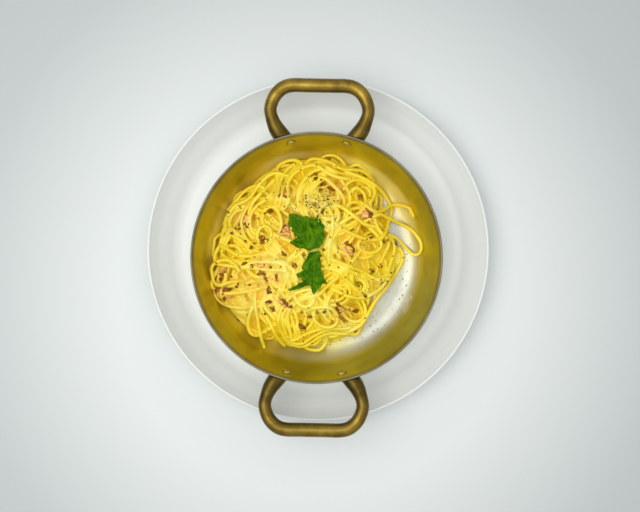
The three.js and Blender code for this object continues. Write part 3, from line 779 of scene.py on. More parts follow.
CORE_DEPTH = 13  # strands fill this much of the heap under its top; sauce alone lies below
LEFT_OVER = 1.0  # mean depth that is left for the noodles that stand out
MOST_BUNDLES = 150
TRIED_PATHS = 28  # for each bundle; the one over the lowest places is taken
PATH_STEPS = (150, 240)
PATH_CURL = (0.045, 0.105)  # how strongly its waves bend a path
BESIDE = (2.8, 4.0)  # distance between the noodles of a bundle
START_CUT = 30  # steps left out at a noodle's start, at most
PRESS = 0.35  # how far a limp noodle sinks into those under it
END_DIP = 2.4  # how far its ends sink into the sauce
END_STEPS = 9
OWN_STEPS = 9  # steps along itself within which a strand doesn't count as crossing itself
SAG = 0.05  # how much a limp noodle sinks in each pass of relax
EDGE_ROOM = 5  # paths start this far inside the heap's edge
TURN_ROOM = 14  # a path starts to turn back this far from the heap's edge
TURN_BACK = 0.16
# Waves of a path, least and most: phase, length and strength.
LONG_WAVES = ((0, 70, 0.4), (6.3, 150, 1.0))
SHORT_WAVES = ((0, 22, 0.1), (6.3, 48, 0.5))
# Sideways waves of one noodle in a bundle, least and most: length, phase and width.
SWAYS = ((34, 0, 0.8), (80, 6.3, 2.4))
LEADING_REACH = 86.5
BURIED = 3.6  # a strand this many radii under the surface doesn't show

CELL = 0.75
HALF_GRID = 92
GRID = np.arange(-HALF_GRID, HALF_GRID + CELL, CELL)
GX, GY = np.meshgrid(GRID, GRID, indexing="ij")
AWAY = np.hypot(GX, GY)
FLOOR_MAP = rest_height(AWAY, 0)
TARGET = np.where(AWAY < heap_reach(np.arctan2(GY, GX)), heap_top(GX, GY), FLOOR_MAP)
FOOTPRINT = [
    (i, j) for i in range(-2, 3) for j in range(-2, 3) if math.hypot(i, j) * CELL < NOODLE_R + CELL
]


def to_cells(x, y):
    """Grid cells under points, kept so far inside that a footprint fits."""
    return [np.clip(np.rint((v + HALF_GRID) / CELL).astype(int), 2, len(GRID) - 3) for v in (x, y)]


def cells_under(path):
    """For each cell of a footprint: its places along a strand, where it is near, and the bar's rise there."""
    ix, iy = to_cells(path[:, 0], path[:, 1])
    for i, j in FOOTPRINT:
        cx, cy = ix + i, iy + j
        d2 = (GRID[cx] - path[:, 0]) ** 2 + (GRID[cy] - path[:, 1]) ** 2
        yield cx, cy, d2 < NOODLE_R * NOODLE_R, np.sqrt(np.maximum(NOODLE_R * NOODLE_R - d2, 0))


def contact(surface, path):
    """Lowest height of a strand's middle line at each point so that it rests on the surface."""
    best = np.full(len(path), -1e9)
    for cx, cy, near, rise in cells_under(path):
        best = np.where(near, np.maximum(best, surface[cx, cy] + rise), best)
    return best


def stamp(surface, path, z):
    """Raises the surface to the top of a laid strand."""
    for cx, cy, near, rise in cells_under(path):
        np.maximum.at(surface, (cx[near], cy[near]), (z + rise)[near])


def relax(base):
    """A limp strand over its supports: it bridges short gaps, sags into long ones and has no kinks."""
    z = base.copy()
    for reach in (4, 3, 2):
        for _ in range(8):
            ahead = np.concatenate([z[reach:], np.repeat(z[-1], reach)])
            behind = np.concatenate([np.repeat(z[0], reach), z[:-reach]])
            z = np.maximum(base, 0.45 * z + 0.275 * (ahead + behind) - SAG)
    for _ in range(3):
        z[1:-1] = 0.25 * z[:-2] + 0.5 * z[1:-1] + 0.25 * z[2:]
    return z


def settle(surface, path):
    """Heights of a strand laid on the surface, also where it crosses over itself."""
    base = contact(surface, path) - PRESS
    z = relax(base)
    gap = np.linalg.norm(path[:, None, :2] - path[None, :, :2], axis=2)
    order = np.arange(len(path))
    crosses = (gap < 2 * NOODLE_R) & (order[None] > order[:, None] + OWN_STEPS)
    if crosses.any():
        lift = np.where(crosses, z[:, None] + np.sqrt(np.maximum(4 * NOODLE_R**2 - gap**2, 0)), -1e9)
        z = relax(np.maximum(base, lift.max(0)))
    # Its ends sink into the sauce, but not into the pan.
    from_end = np.minimum(order, order[::-1])
    sunk = z - END_DIP * (1 - eased(from_end, 0, END_STEPS))
    return np.maximum(sunk, rest_height(np.hypot(path[:, 0], path[:, 1]), NOODLE_R))


def swing(chosen, step):
    """How much the chosen waves of some paths bend them at a step."""
    phase, length, strength = chosen.T
    return strength * np.sin(FULL_TURN * step / length + phase)


def wander(count, length, curl):
    """Seeded smooth paths, one millimetre a step, that turn back before they leave the heap."""
    start = rng.uniform(0, FULL_TURN, count)
    away = np.sqrt(rng.uniform(0, 1, count)) * (heap_reach(start) - EDGE_ROOM)
    x, y = away * np.cos(start), away * np.sin(start)
    heading = rng.uniform(0, FULL_TURN, count)
    long_waves = rng.uniform(*LONG_WAVES, (count, 3))
    short_waves = rng.uniform(*SHORT_WAVES, (count, 3))
    drift = rng.uniform(-1, 1, count) * 0.5
    paths = np.zeros((count, length, 2))
    for s in range(length):
        paths[:, s, 0], paths[:, s, 1] = x, y
        bend = (drift + swing(long_waves, s) + swing(short_waves, s)) * curl
        angle = np.arctan2(y, x)
        room = heap_reach(angle) - NOODLE_R - np.hypot(x, y)
        outwards = np.cos(heading - angle)
        side = np.where(np.sin(heading - angle) >= 0, 1, -1)
        push = np.clip(1 - room / TURN_ROOM, 0, 1.4) * np.clip(outwards + 0.85, 0, 1.2)
        turning = bend * (1 - np.clip(push, 0, 1)) + side * push * TURN_BACK
        heading = heading + np.where(room < TURN_ROOM, turning, bend)
        x, y = x + np.cos(heading), y + np.sin(heading)
    return paths


def best_path(surface, late):
    """Of some wandering paths, the one over the lowest places. The late ones are shorter and curl more."""
    length = int(rng.integers(*PATH_STEPS) * (1 - 0.45 * late))
    paths = wander(TRIED_PATHS, length, rng.uniform(*PATH_CURL) * (1 + 0.6 * late))
    ix, iy = to_cells(paths[..., 0], paths[..., 1])
    lack = TARGET[ix, iy] - surface[ix, iy] - NOODLE_R
    return paths[np.clip(lack, -5, 5).mean(1).argmax()]


def kept_within(path, most):
    """A path with the points that lie too far out pulled in."""
    away = np.hypot(path[:, 0], path[:, 1])
    return path * np.minimum(1, most / np.maximum(away, 1e-6))[:, None]


def bundle(guide):
    """One to three noodles beside each other along a path, each with its own sway."""
    tangent = np.gradient(guide, axis=0)
    tangent /= np.maximum(np.linalg.norm(tangent, axis=1, keepdims=True), 1e-6)
    sideways = np.stack([-tangent[:, 1], tangent[:, 0]], 1)
    step = np.arange(len(guide))
    members = int(rng.integers(1, 4))
    for member in range(members):
        path = guide + sideways * ((member - (members - 1) / 2) * rng.uniform(*BESIDE))
        for axis in (0, 1):
            period, phase, sway = rng.uniform(*SWAYS)
            path[:, axis] += sway * np.sin(FULL_TURN * step / period + phase)
        most = heap_reach(np.arctan2(path[:, 1], path[:, 0])) + 1.0
        yield kept_within(path, most)[int(rng.integers(0, START_CUT)) :]


# Noodles that stand out, as the points that each one passes, in millimetres from the pan's middle.
LEADING_NOODLES = [
    [(-46, 10), (-48.5, 17), (-45, 24), (-39, 23.5), (-36.5, 17), (-39, 9.5)],
    [(-80, 9), (-72.6, 5.2), (-63.6, 0.8), (-50.7, 0.5), (-42, 4)],
    [(-12, 76), (-4.4, 81), (8.5, 78.5), (18.8, 73), (30, 72.5), (37.4, 71.4), (46, 64)],
    [(-32.1, 58), (-34, 67), (-32.7, 74.7), (-25, 79.2), (-17, 79), (-10, 73)],
    [(-74, 38), (-67.5, 45), (-59.7, 54), (-50.7, 57.9), (-42, 55)],
    [(-77, 26), (-73.9, 32.2), (-67.5, 41.2), (-55.9, 47.6), (-45.6, 61.8), (-36, 68.2), (-24, 66)],
    [(4, -4), (9, -8.5), (17.5, -11), (26.5, -19.3), (35, -26.5), (48, -28.6), (56, -24)],
    [(8, 0), (14, -2), (22, -4.8), (36.8, -10.3), (50, -17), (60, -16)],
    [(12, -24), (26.5, -30.6), (39.3, -31), (50.9, -25.4), (57, -19)],
    [
        (10, 33), (14.9, 27), (22, 22.6), (32.9, 17.8), (43.2, 15.5), (52.2, 17), (57.4, 26), (57, 35),
        (52, 44),
    ],
    [(12, 43), (20, 40.5), (29, 34.2), (38, 28), (47, 26)],
    [(0, 52), (6, 44), (11.5, 34), (12, 22), (9.5, 11), (9.5, 0), (12, -10)],
    [
        (-7, -42.4), (0.7, -39.9), (11, -39.9), (17.5, -46.3), (16.2, -54), (8.5, -56.3), (0.7, -52.4),
        (-3, -45),
    ],
    [(-18, -30), (-14, -36.7), (-7.6, -39.6), (-2.6, -36), (-1.8, -30)],
    [(-49, -26), (-49.4, -37.3), (-47.5, -48.9), (-45.6, -61.7), (-41.7, -75)],
    [(-42, -32), (-44, -42), (-37.9, -52.2), (-31.5, -65), (-25, -73)],
    [
        (-62, -20), (-71.9, -21.7), (-79.7, -24), (-85, -18.8), (-85.4, -9.3), (-79, -4.1), (-70, -3.9),
        (-62, -12),
    ],
    [(22, 71), (38.5, 64.8), (51.1, 56.8), (57.8, 48.7), (61, 40), (58, 30)],
    [
        (68, 10), (71.5, 4), (70.5, -3), (65.4, -12), (58, -23.2), (49.6, -33.2), (43.2, -44.1), (37, -54),
        (26, -61),
    ],
    [(34, 46), (48, 38), (60.5, 43.9), (68.8, 44.4), (76.2, 41.7), (81.5, 36.2)],
    [
        (38, 30), (50, 36), (57.4, 33.9), (63.2, 31.6), (76.6, 25.2), (83.6, 17.5), (86, 10.5), (84, 4.7),
        (79, 4.6), (73, 10.3), (66, 17), (58, 20),
    ],
]


def lay_heap():
    """All strands with their heights, and the heap's upper surface when the last one lies."""
    inside = AWAY < heap_reach(np.arctan2(GY, GX)) - EDGE_ROOM
    surface = np.where(inside, np.maximum(FLOOR_MAP, TARGET - CORE_DEPTH), FLOOR_MAP)
    strands = []

    def lay(path):
        z = settle(surface, path)
        stamp(surface, path, z)
        strands.append(np.column_stack([path, z]))

    for _ in range(MOST_BUNDLES):
        left = (TARGET - surface)[inside].mean()
        if left < LEFT_OVER:
            break
        late = np.clip(1 - left / CORE_DEPTH, 0, 1)
        for path in bundle(best_path(surface, late)):
            lay(path)
    for points in LEADING_NOODLES:
        lay(kept_within(smooth_path(points, 1.0), LEADING_REACH))
    return strands, surface


def visible_runs(strands, surface):
    """The stretches of the strands that aren't buried, with a little more at each end."""
    runs = []
    for strand in strands:
        ix, iy = to_cells(strand[:, 0], strand[:, 1])
        roof = np.min([surface[ix + i, iy + j] for i, j in FOOTPRINT], axis=0)
        shown = roof - strand[:, 2] < BURIED * NOODLE_R
        wide = np.convolve(shown, np.ones(15), "same") > 0
        edges = np.flatnonzero(np.diff(np.concatenate([[0], wide.astype(int), [0]])))
        runs += [strand[a:b] for a, b in zip(edges[::2], edges[1::2]) if b - a > 8]
    return runs


def spread_over(x, y, places):
    """How strongly some places tint what lies at a point: the places as x, y, radius and strength."""
    near = np.zeros(np.shape(x))
    for px, py, radius, strength in places:
        near = np.maximum(near, strength * mound(x, y, px, py, radius))
    return near


def add_tints(made, vertices, share):
    """Where bacon fat, cream and a few painted highlights of wet sauce colour the strands and the sauce."""
    x, y = vertices[:, 0], vertices[:, 1]
    fatty = FATTY_PLACES + [(bx, by, 0.7 * size[0], 0.9) for bx, by, size, *_ in BACON_PIECES]
    add_attribute(made, "blush", share * spread_over(x, y, fatty))
    add_attribute(made, "cream", spread_over(x, y, CREAM_AND_GLEAM_PLACES))


def make_spaghetti(strands, surface, material):
    tubes, tones = [], []
    for run in visible_runs(strands, surface):
        path = run[::2] if len(run) % 2 else np.vstack([run[::2], run[-1:]])
        share = np.linspace(0, 1, len(path))
        thick = NOODLE_R * rng.uniform(0.95, 1.18)
        radii = thick * (1 + 0.05 * np.sin(FULL_TURN * 4 * share + rng.uniform(0, 6)))
        tubes.append(tube(path, radii, NOODLE_SIDES))
        tones.append(np.full(len(tubes[-1][0]), rng.uniform()))
    vertices, faces = joined(tubes)
    made = mesh_object("spaghetti_strands", vertices, faces, material)
    add_attribute(made, "tone", np.concatenate(tones))
    add_tints(made, vertices, 0.4)
    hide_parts("spaghetti")
    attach(made, "root")


def blurred(field, radius):
    """A field of heights blurred over some cells."""
    kernel = np.exp(-0.5 * (np.arange(-3 * radius, 3 * radius + 1) / radius) ** 2)
    kernel /= kernel.sum()

    def blur_line(line):
        return np.convolve(np.pad(line, 3 * radius, "edge"), kernel, "valid")

    return np.apply_along_axis(blur_line, 1, np.apply_along_axis(blur_line, 0, field))


def sample(field, x, y):
    """Heights between the cells of a field."""
    fx = np.clip((np.asarray(x, float) + HALF_GRID) / CELL, 0, len(GRID) - 1.001)
    fy = np.clip((np.asarray(y, float) + HALF_GRID) / CELL, 0, len(GRID) - 1.001)
    i, j = fx.astype(int), fy.astype(int)
    u, v = fx - i, fy - j
    return (
        field[i, j] * (1 - u) * (1 - v)
        + field[i + 1, j] * u * (1 - v)
        + field[i, j + 1] * (1 - u) * v
        + field[i + 1, j + 1] * u * v
    )


# Places where more sauce lies: x, y, radius and how much higher it stands.
SAUCE_PATCHES = [
    (8.4, 27, 6, 1.1), (7, 12, 4.5, 0.9), (-30, -3, 11, 1.35), (-25, -13, 9, 1.3), (-52, -13, 13, 0.95),
    (-42, -30, 12, 0.95), (-61, -44, 10, 1.15), (-19, 43.5, 9, 0.9), (-3, 46, 8, 0.8), (-7, -35, 9, 0.6),
    (-56, -28, 10, 0.8), (30, -12, 9, 0.9), (-48, -50, 9, 0.6),
]
# Deeper gaps between noodles: one end, the other, and how deep.
SAUCE_GROOVES = [
    ((18.1, 38.1), (37.3, 25.1), 2.0),
    ((10, -3), (18.7, -8), 1.4),
    ((-80, 0.5), (-53, 0), 1.2),
    ((26, -28), (42, -27), 1.2),
    ((14.6, -15.5), (17, -21), 1.6),
    ((-50, -35), (-50.4, -43), 1.6),
    ((-50.5, -53), (-49.8, -62), 1.6),
    ((-13, 5), (-8.5, -3), 2.2),
]
GROOVE_WIDTH = 1.5
SAUCE_SPOKES = 540
SAUCE_EDGE = 3.5  # the sauce ends this far inside the heap's edge
SAUCE_CLEAR = 0.35  # and this much above the pan's floor


def sauce_level(surface):
    """Height of the sauce: the blurred surface of the strands, with thicker and thinner places."""
    thick = blurred(rng.normal(0, 1, GX.shape), 9)
    thick = thick / thick.std()
    level = 0.6 * blurred(surface, 1) + 0.4 * blurred(surface, 3) + 0.12 + np.clip(0.6 * thick, -0.5, 0.75)
    for x, y, radius, rise in SAUCE_PATCHES:
        level += rise * mound(GX, GY, x, y, radius)
    for (ax, ay), (bx, by), depth in SAUCE_GROOVES:
        t = ((GX - ax) * (bx - ax) + (GY - ay) * (by - ay)) / ((bx - ax) ** 2 + (by - ay) ** 2)
        t = np.clip(t, 0, 1)
        off = np.hypot(GX - ax - t * (bx - ax), GY - ay - t * (by - ay))
        level -= depth * np.exp(-((off / GROOVE_WIDTH) ** 2))
    return level


def make_sauce(surface, material):
    """The sauce and hidden strands between those that show, as a solid."""
    level = sauce_level(surface)
    angles = round_angles(SAUCE_SPOKES)
    reach = heap_reach(angles) - SAUCE_EDGE
    sheets = []
    for shares in (np.linspace(0, 1, 117)[1:], np.array([0.5, 0.8, 0.9, 0.95, 1])):
        x = shares[:, None] * reach * np.cos(angles)
        y = shares[:, None] * reach * np.sin(angles)
        bottom = rest_height(np.hypot(x, y), 0) + SAUCE_CLEAR
        z = bottom if sheets else np.maximum(sample(level, x, y), bottom + 0.25)
        middle = [0, 0, FLOOR_Z + SAUCE_CLEAR if sheets else float(sample(level, 0, 0))]
        sheets.append(np.vstack([np.stack([x, y, z], -1).reshape(-1, 3), middle]))
    vertices, faces = closed_sheet(*sheets, SAUCE_SPOKES)
    made = mesh_object("sauce_between", vertices, faces, material)
    add_tints(made, vertices, 0.55)
    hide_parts("spaghetti")
    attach(made, "root")


# ---------------------------------------------------------------- toppings

# Each larger piece: place, size, how far its length is turned and how much of it is fried brown.
BACON_PIECES = [
    (-26, 20, (12, 9, 2.4), 70, 0.45),
    (39.6, 36.6, (10.5, 9, 3), 20, 0.9),
    (25.2, 7.1, (13, 10, 2.6), 120, 0.7),
    (-76, -13, (9, 7, 2.6), 50, 1.05),
    (-59.5, 29.8, (12, 5.5, 2.4), 38, 0.75),
    (-42.8, -15.5, (10, 6, 2.6), 5, 0.75),
    (-44.8, -5.8, (8.5, 6, 2.6), 75, 0.8),
    (-75.5, -30.5, (15, 9, 2.6), 150, 0.95),
    (-26.7, -36.6, (10, 6, 2.4), 150, 0.75),
    (-27.5, 51, (9, 4.5, 2.2), 35, 0.75),
    (20.5, -44.3, (9, 6.5, 2.4), 75, 0.5),
    (14.2, 56.2, (12, 5, 2.4), 161, 0.75),
    (-33.2, -18.5, (8.5, 5.5, 2.4), 100, 1.05),
]

# Smaller fried bits: place, length, width and how far the length is turned.
BACON_BITS = [
    (-78.2, -18.9, 3, 2.6, 0), (-74.9, -35, 5, 3, 120), (-58.2, -5.7, 5, 3, 20), (-52.4, -8.1, 4, 2.4, 110),
    (-41.1, -16.9, 7, 3, 120), (-37.8, -27.2, 7, 4.6, 80), (-35.2, -42.3, 6, 2.6, 130),
    (-38.3, -36.5, 5, 3, 10), (-43.6, 11.8, 5, 3.6, 60), (-53.4, 7.2, 3.4, 2.6, 90),
    (-17.4, -6.6, 5, 3.6, 0), (-26.9, 2.6, 6, 3.4, 150), (-63.7, 22.6, 3, 2.6, 0),
    (-69.5, 18.7, 3, 2.8, 30), (-57.3, 24.1, 4, 2, 140), (-37.6, 37.3, 4.5, 3.5, 70),
    (3.9, 59.7, 6, 2, 170), (-2, 64.2, 4, 3, 50), (35.3, 50.8, 4.4, 3.4, 140), (1.9, 55.3, 3, 2.4, 0),
    (52.1, -6.4, 4.6, 3, 25), (46, -10.1, 3.4, 3, 0), (65, 12.8, 4, 2.8, 110), (44, 17.3, 5, 1.8, 50),
    (-11, -55.8, 6, 4.6, 150), (-4.4, -47.8, 3.8, 3, 20), (6.9, -43.6, 3, 2.4, 0), (32.6, -42.9, 5, 4, 20),
    (40.3, -30.6, 4, 3, 150), (18.2, -37.4, 5, 3, 140), (-19.8, -39.6, 4, 3, 30), (-43.5, 14.5, 3.5, 6, 10),
    (-53.9, -23, 2.2, 2, 0), (-64.9, -24.9, 2.4, 2, 0), (-69.5, -16.8, 2.2, 1.8, 0),
    (-55, -47.6, 2.6, 2.2, 40), (5.4, 6.4, 3, 2, 60),
]
CRUMBS = 46
# Where bacon fat, and where cream and painted highlights of wet sauce, colour the pasta: place, radius and
# strength. The small spot at (-9.5, 1), beside the leaves, is only a tan tint there.
FATTY_PLACES = [
    (-60.5, -22, 9, 0.9), (-54, -34, 9, 0.9), (-9.5, 1, 3.5, 1.0), (-22, 38, 5, 0.6), (-37, -8, 10, 0.9),
    (-42, -24, 10, 0.9),
]
# The last four places, by the heap's lower right edge, are pale cream spots that are also painted highlights
# of wet sauce.
CREAM_AND_GLEAM_PLACES = [
    (8.4, 27, 5, 0.9), (7, 12, 4, 0.9), (-31, -3, 8, 0.8), (-25, -13, 7, 0.8), (-61, -44, 9, 0.6),
    (-19, 43.5, 7, 0.5), (-3, 46, 8, 0.25), (-7, -35, 8, 0.6), (8, -40, 7, 0.5), (24.8, -56.5, 3, 1.0),
    (31, -56, 4, 1.0), (48.5, -29.2, 3, 1.0), (53, -22, 4, 1.0),
]

# Each leaf: its middle, and the corners of its toothed outline about that.
LEAVES = {
    "leaf_upper": (
        (-8, 19.5),
        [
            (-15, 15.4), (-10.1, 15.6), (-7.4, 13.8), (-3.7, 12.4), (-0.3, 13.7), (3.2, 10.3), (5.4, 10.9),
            (8.1, 13.2), (10.3, 11.5), (11.6, 8.1), (13.9, 5.2), (12.5, 2.2), (14.1, -1.4), (13, -6.1),
            (10.7, -10.6), (7.6, -12.2), (1.7, -12.8), (-2.7, -12.1), (-6.6, -12), (-10.1, -10),
            (-13.9, -7.7), (-7.1, -3.8), (-10.6, -1), (-9.4, 0.4), (-13.4, 2.2), (-11, 3.8), (-15.4, 6.9),
            (-14.6, 11),
        ],
    ),
    "leaf_lower": (
        (-2.5, -15.9),
        [
            (-3.2, 19.8), (0.7, 20.5), (4.8, 20.9), (4.9, 16.5), (5.3, 11.6), (6.1, 7.2), (7.3, 3.3),
            (9, -1), (11.6, -5), (7.2, -3.5), (6.7, -5.5), (5.5, -8.7), (3.2, -10), (0.6, -13.4),
            (-0.9, -9.6), (-1.5, -5.8), (-5.3, -6.4), (-9.3, -7.9), (-13.4, -9.5), (-20.2, -10.8),
            (-13.6, -7), (-10.2, -5), (-6.3, -1.7), (-8.9, -0.4), (-13.6, 1.9), (-10.8, 4), (-7.8, 5.6),
            (-9.4, 8), (-7.5, 11.4), (-5.6, 15.3),
        ],
    ),
}
# The veins run from a leaf's foot to its larger teeth.
VEIN_TIPS = {
    "leaf_upper": ((2, -12), [(-14, 14.5), (-0.5, 13), (8.5, 12), (13, 4.5), (-13.5, 6), (-12.5, -7.5)]),
    "leaf_lower": ((1, 19), [(0.3, -12.5), (-19, -10.8), (-12.5, 1.8), (-9, 7.8), (11, -4.4)]),
}
LEAF_SKIN = 0.4
LEAF_RINGS = 18
LEAF_LIFT = 0.25
RIM_LIFT, RIM_WAVE = 0.8, 0.9  # how much higher a leaf's rim lies, and by how much that changes in waves
VEIN_DEPTH = 0.3
STALK = [(2.4, 5.8), (0, 5.7), (-3, 5.2), (-6.4, 4.4)]


def fine_outline(corners, parts):
    """An outline cut into shorter edges that bow a little and carry fine teeth."""
    corners = np.array(corners[::-1], float)
    t = np.arange(parts) / parts
    line = []
    for a, b in zip(corners, np.roll(corners, -1, axis=0)):
        length = np.hypot(*(b - a))
        out = np.array([b[1] - a[1], a[0] - b[0]]) / length
        bow = 0.3 * np.sin(math.pi * t) + min(0.85, 0.2 * length) * ((2 * t) % 1.0 - 0.4)
        line.append(a + (b - a) * t[:, None] + out * bow[:, None])
    return np.vstack(line)


def raised(field, reach):
    """A field where each cell holds the highest value within some cells."""
    best = field.copy()
    for i in range(-reach, reach + 1):
        for j in range(-reach, reach + 1):
            if math.hypot(i, j) <= reach + 0.3:
                best = np.maximum(best, np.roll(field, (i, j), (0, 1)))
    return best


def vein_shade(name, local):
    """How near the points of a leaf, told about its middle, lie to a vein."""
    foot, tips = VEIN_TIPS[name]
    vein = np.zeros(local.shape[:2])
    for tip in tips:
        along = np.array(tip) - foot
        t = np.clip(((local - foot) @ along) / (along @ along), 0, 1)
        off = np.linalg.norm(local - foot - t[..., None] * along, axis=-1)
        vein = np.maximum(vein, np.exp(-((off / (0.55 - 0.25 * t)) ** 2)))
    return vein


def make_leaf(name, surface, material):
    """A thin leaf that follows the heap, with its rim in waves and its veins sunk in."""
    (cx, cy), corners = LEAVES[name]
    outline = fine_outline(corners, 8)
    shares = np.linspace(0, 1, LEAF_RINGS + 1)[:, None]
    x = cx + shares * outline[:, 0]
    y = cy + shares * outline[:, 1]
    vein = vein_shade(name, np.stack([x - cx, y - cy], -1))
    angle = np.arctan2(outline[:, 1], outline[:, 0])
    seed = cx * 0.37
    wave = waves(angle, (0.6, 2, seed), (0.5, 5, 2.3 * seed), (0.35, 11, seed))
    crumple = 0.25 * np.sin(1.3 * x + 0.5 * y) * np.sin(1.1 * y - 0.4 * x)
    bed = blurred(raised(surface, 2), 3)
    curl = shares**2 * (RIM_LIFT + RIM_WAVE * wave)
    z = sample(bed, x, y) + LEAF_LIFT + curl + crumple - VEIN_DEPTH * vein
    z = np.maximum(z, sample(raised(surface, 1), x, y) + 0.1)
    z[0] = z[1].mean()
    points = np.stack([x, y, z], -1)
    lower = np.vstack([points[1:].reshape(-1, 3), points[0, :1]])
    vertices, faces = closed_sheet(lower + (0, 0, LEAF_SKIN), lower, len(outline))
    made = mesh_object(name.replace("leaf_", "herb_"), vertices, faces, material)
    shade = np.append(vein[1:], vein[0, :1])
    add_attribute(made, "vein", np.concatenate([shade, shade]))
    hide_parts(name)
    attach(made, "root")


def make_stalk(surface, material):
    """The pale stalk that shows between the two leaves."""
    path = smooth_path(STALK, 0.5)
    z = sample(blurred(raised(surface, 2), 3), path[:, 0], path[:, 1]) + 0.6
    vertices, faces = tube(np.column_stack([path, z]), np.linspace(0.5, 0.75, len(path)), 10)
    made = mesh_object("herb_stalk", vertices, faces, material)
    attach(made, "root")


def lump(size, turn, seed, sides=20, rows=12):
    """An uneven rounded piece of meat: vertices about its middle, faces, and how crisp each vertex is."""
    theta = round_angles(sides)
    phi = np.linspace(-math.pi / 2, math.pi / 2, rows)[1:-1]
    outline = 1 + 0.34 * waves(theta, (0.4, 2, seed), (0.4, 3, 2.3 * seed), (0.2, 5, 3 * seed))
    # A squarish section keeps it a cut piece and not a pebble.
    c, s = np.cos(phi), np.sin(phi)
    across = np.sign(c) * np.abs(c) ** 0.55
    height = np.sign(s) * np.abs(s) ** 0.8
    x = 0.5 * across[:, None] * outline * np.cos(theta)
    y = 0.5 * across[:, None] * outline * np.sin(theta)
    z = 0.5 * height[:, None] + 0.18 * np.sin(5 * x + seed) + 0.16 * np.sin(6 * y + 2 * seed)
    body = np.stack([x, y, z], -1).reshape(-1, 3)
    ends = [[0, 0, -0.5 + 0.1 * math.sin(seed)], [0, 0, 0.5 + 0.16 * math.sin(seed)]]
    vertices = turned(np.vstack([body, ends]) * size, math.radians(turn))
    # One side of a piece is fried darkest, and its rim a little.
    aside = body[:, 0] * math.cos(3 * seed) + body[:, 1] * math.sin(3 * seed)
    crisp = np.append(eased(1.3 * aside + 0.5 * np.hypot(body[:, 0], body[:, 1]), -0.1, 0.6), (1, 0.2))
    # Its rings run upwards, so the faces are turned over.
    faces = [(face[0], *face[:0:-1]) for face in ring_faces(len(phi), sides)]
    return vertices, faces, crisp


def drape(vertices, bed, x, y, sink):
    """Lays a small piece on the heap: each point is raised by the surface under it."""
    placed = vertices + (x, y, 0)
    placed[:, 2] += sample(bed, placed[:, 0], placed[:, 1]) - sink
    return placed


def make_bacon(surface, material):
    bed = blurred(raised(surface, 1), 3)
    for i, (x, y, size, turn, browned) in enumerate(BACON_PIECES):
        vertices, faces, crisp = lump(size, turn, 1.7 * i + 0.4)
        placed = drape(vertices, bed, x, y, 0.05 * size[2])
        made = mesh_object(f"bacon_piece_{i + 1}", placed, faces, material)
        add_attribute(made, "crisp", browned * crisp)
        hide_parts(f"bacon_{i + 1}")
        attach(made, "root")


def make_bacon_bits(surface, material):
    """Small fried bits of bacon: those that stand out, and crumbs strewn about them."""
    bed = blurred(raised(surface, 1), 2)
    places = [(x, y, (length, width, 2.0), turn, 0.55) for x, y, length, width, turn in BACON_BITS]
    for i in range(CRUMBS):
        x, y = np.array(BACON_BITS[i % len(BACON_BITS)][:2]) + rng.normal(0, 5, 2)
        size = rng.uniform((1.8, 1.2, 1.0), (3.6, 2.4, 1.6))
        places.append((x, y, size, rng.uniform(0, 360), 0.2))
    bits, browned = [], []
    for x, y, size, turn, least in places:
        vertices, faces, crisp = lump(size, turn, rng.uniform(0, 6), sides=12, rows=7)
        bits.append((drape(vertices, bed, x, y, -0.25 * size[2]), faces))
        browned.append(np.maximum(crisp, rng.uniform(least, 1)))
    made = mesh_object("bacon_crumbs", *joined(bits), material)
    add_attribute(made, "crisp", 0.75 * np.concatenate(browned))
    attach(made, "root")


CUBE = np.array([(i, j, k) for i in (-0.5, 0.5) for j in (-0.5, 0.5) for k in (-0.5, 0.5)])
CUBE_FACES = [(0, 1, 3, 2), (4, 6, 7, 5), (0, 4, 5, 1), (2, 3, 7, 6), (0, 2, 6, 4), (1, 5, 7, 3)]
FLAKE_SKIN = 0.5
PEPPER_ALL_OVER, PEPPER_SPRINKLED, PEPPER_ON_FLOOR = 330, 90, 34
CHEESE_SPRINKLED, CHEESE_STREWN = 120, 50
SPRINKLE = (-1.5, 42)  # middle of the cheese and pepper above the leaves
SPRINKLE_SPREAD = (8, 6.5)
STREWN_X, STREWN_Y = -10, 5  # middle of the cheese that lies more widely
STREWN_REACH = 70
LEAF_CLEAR = 14  # no cheese lies this near to a leaf's middle


def flake(surface, x, y, size):
    """A broken flake: an uneven small block, turned at random, lying on the surface."""
    corners = CUBE + rng.uniform(-0.16, 0.16, CUBE.shape)
    corners *= (size, size * rng.uniform(0.5, 1), FLAKE_SKIN)
    corners = turned(corners, rng.uniform(0, FULL_TURN))
    corners[:, 2] += corners[:, 0] * rng.uniform(-0.5, 0.5)
    return corners + (x, y, sample(surface, x, y) + 0.25 * FLAKE_SKIN), CUBE_FACES


def polar(away, angle):
    return away * math.cos(angle), away * math.sin(angle)


def make_pepper(surface, material):
    places = []
    for _ in range(PEPPER_ALL_OVER):
        angle = rng.uniform(0, FULL_TURN)
        away = math.sqrt(rng.uniform(0, 1)) * (heap_reach(angle) - 2)
        places.append((*polar(away, angle), rng.uniform(0.6, 1.5)))
    # More of it lies by the cheese above the leaves and on the bare floor.
    for _ in range(PEPPER_SPRINKLED):
        places.append((*rng.normal(SPRINKLE, SPRINKLE_SPREAD), rng.uniform(0.8, 2.0)))
    for _ in range(PEPPER_ON_FLOOR):
        angle = math.radians(rng.uniform(-75, 10))
        places.append((*polar(rng.uniform(64, 80), angle), rng.uniform(0.35, 1.05)))
    flakes = [flake(surface, x, y, size) for x, y, size in places]
    made = mesh_object("pepper", *joined(flakes), material, smooth=False)
    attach(made, "root")


def shred(surface, x, y, length, turn):
    """A short curled shred of grated cheese."""
    heading = turn + 0.9 * np.linspace(0, 1, 5)
    px = x + np.cumsum(np.cos(heading)) * length / 4
    py = y + np.cumsum(np.sin(heading)) * length / 4
    base = sample(surface, px, py) + 0.35
    return tube(np.column_stack([px, py, np.maximum(base, base.mean())]), 0.42, 5)


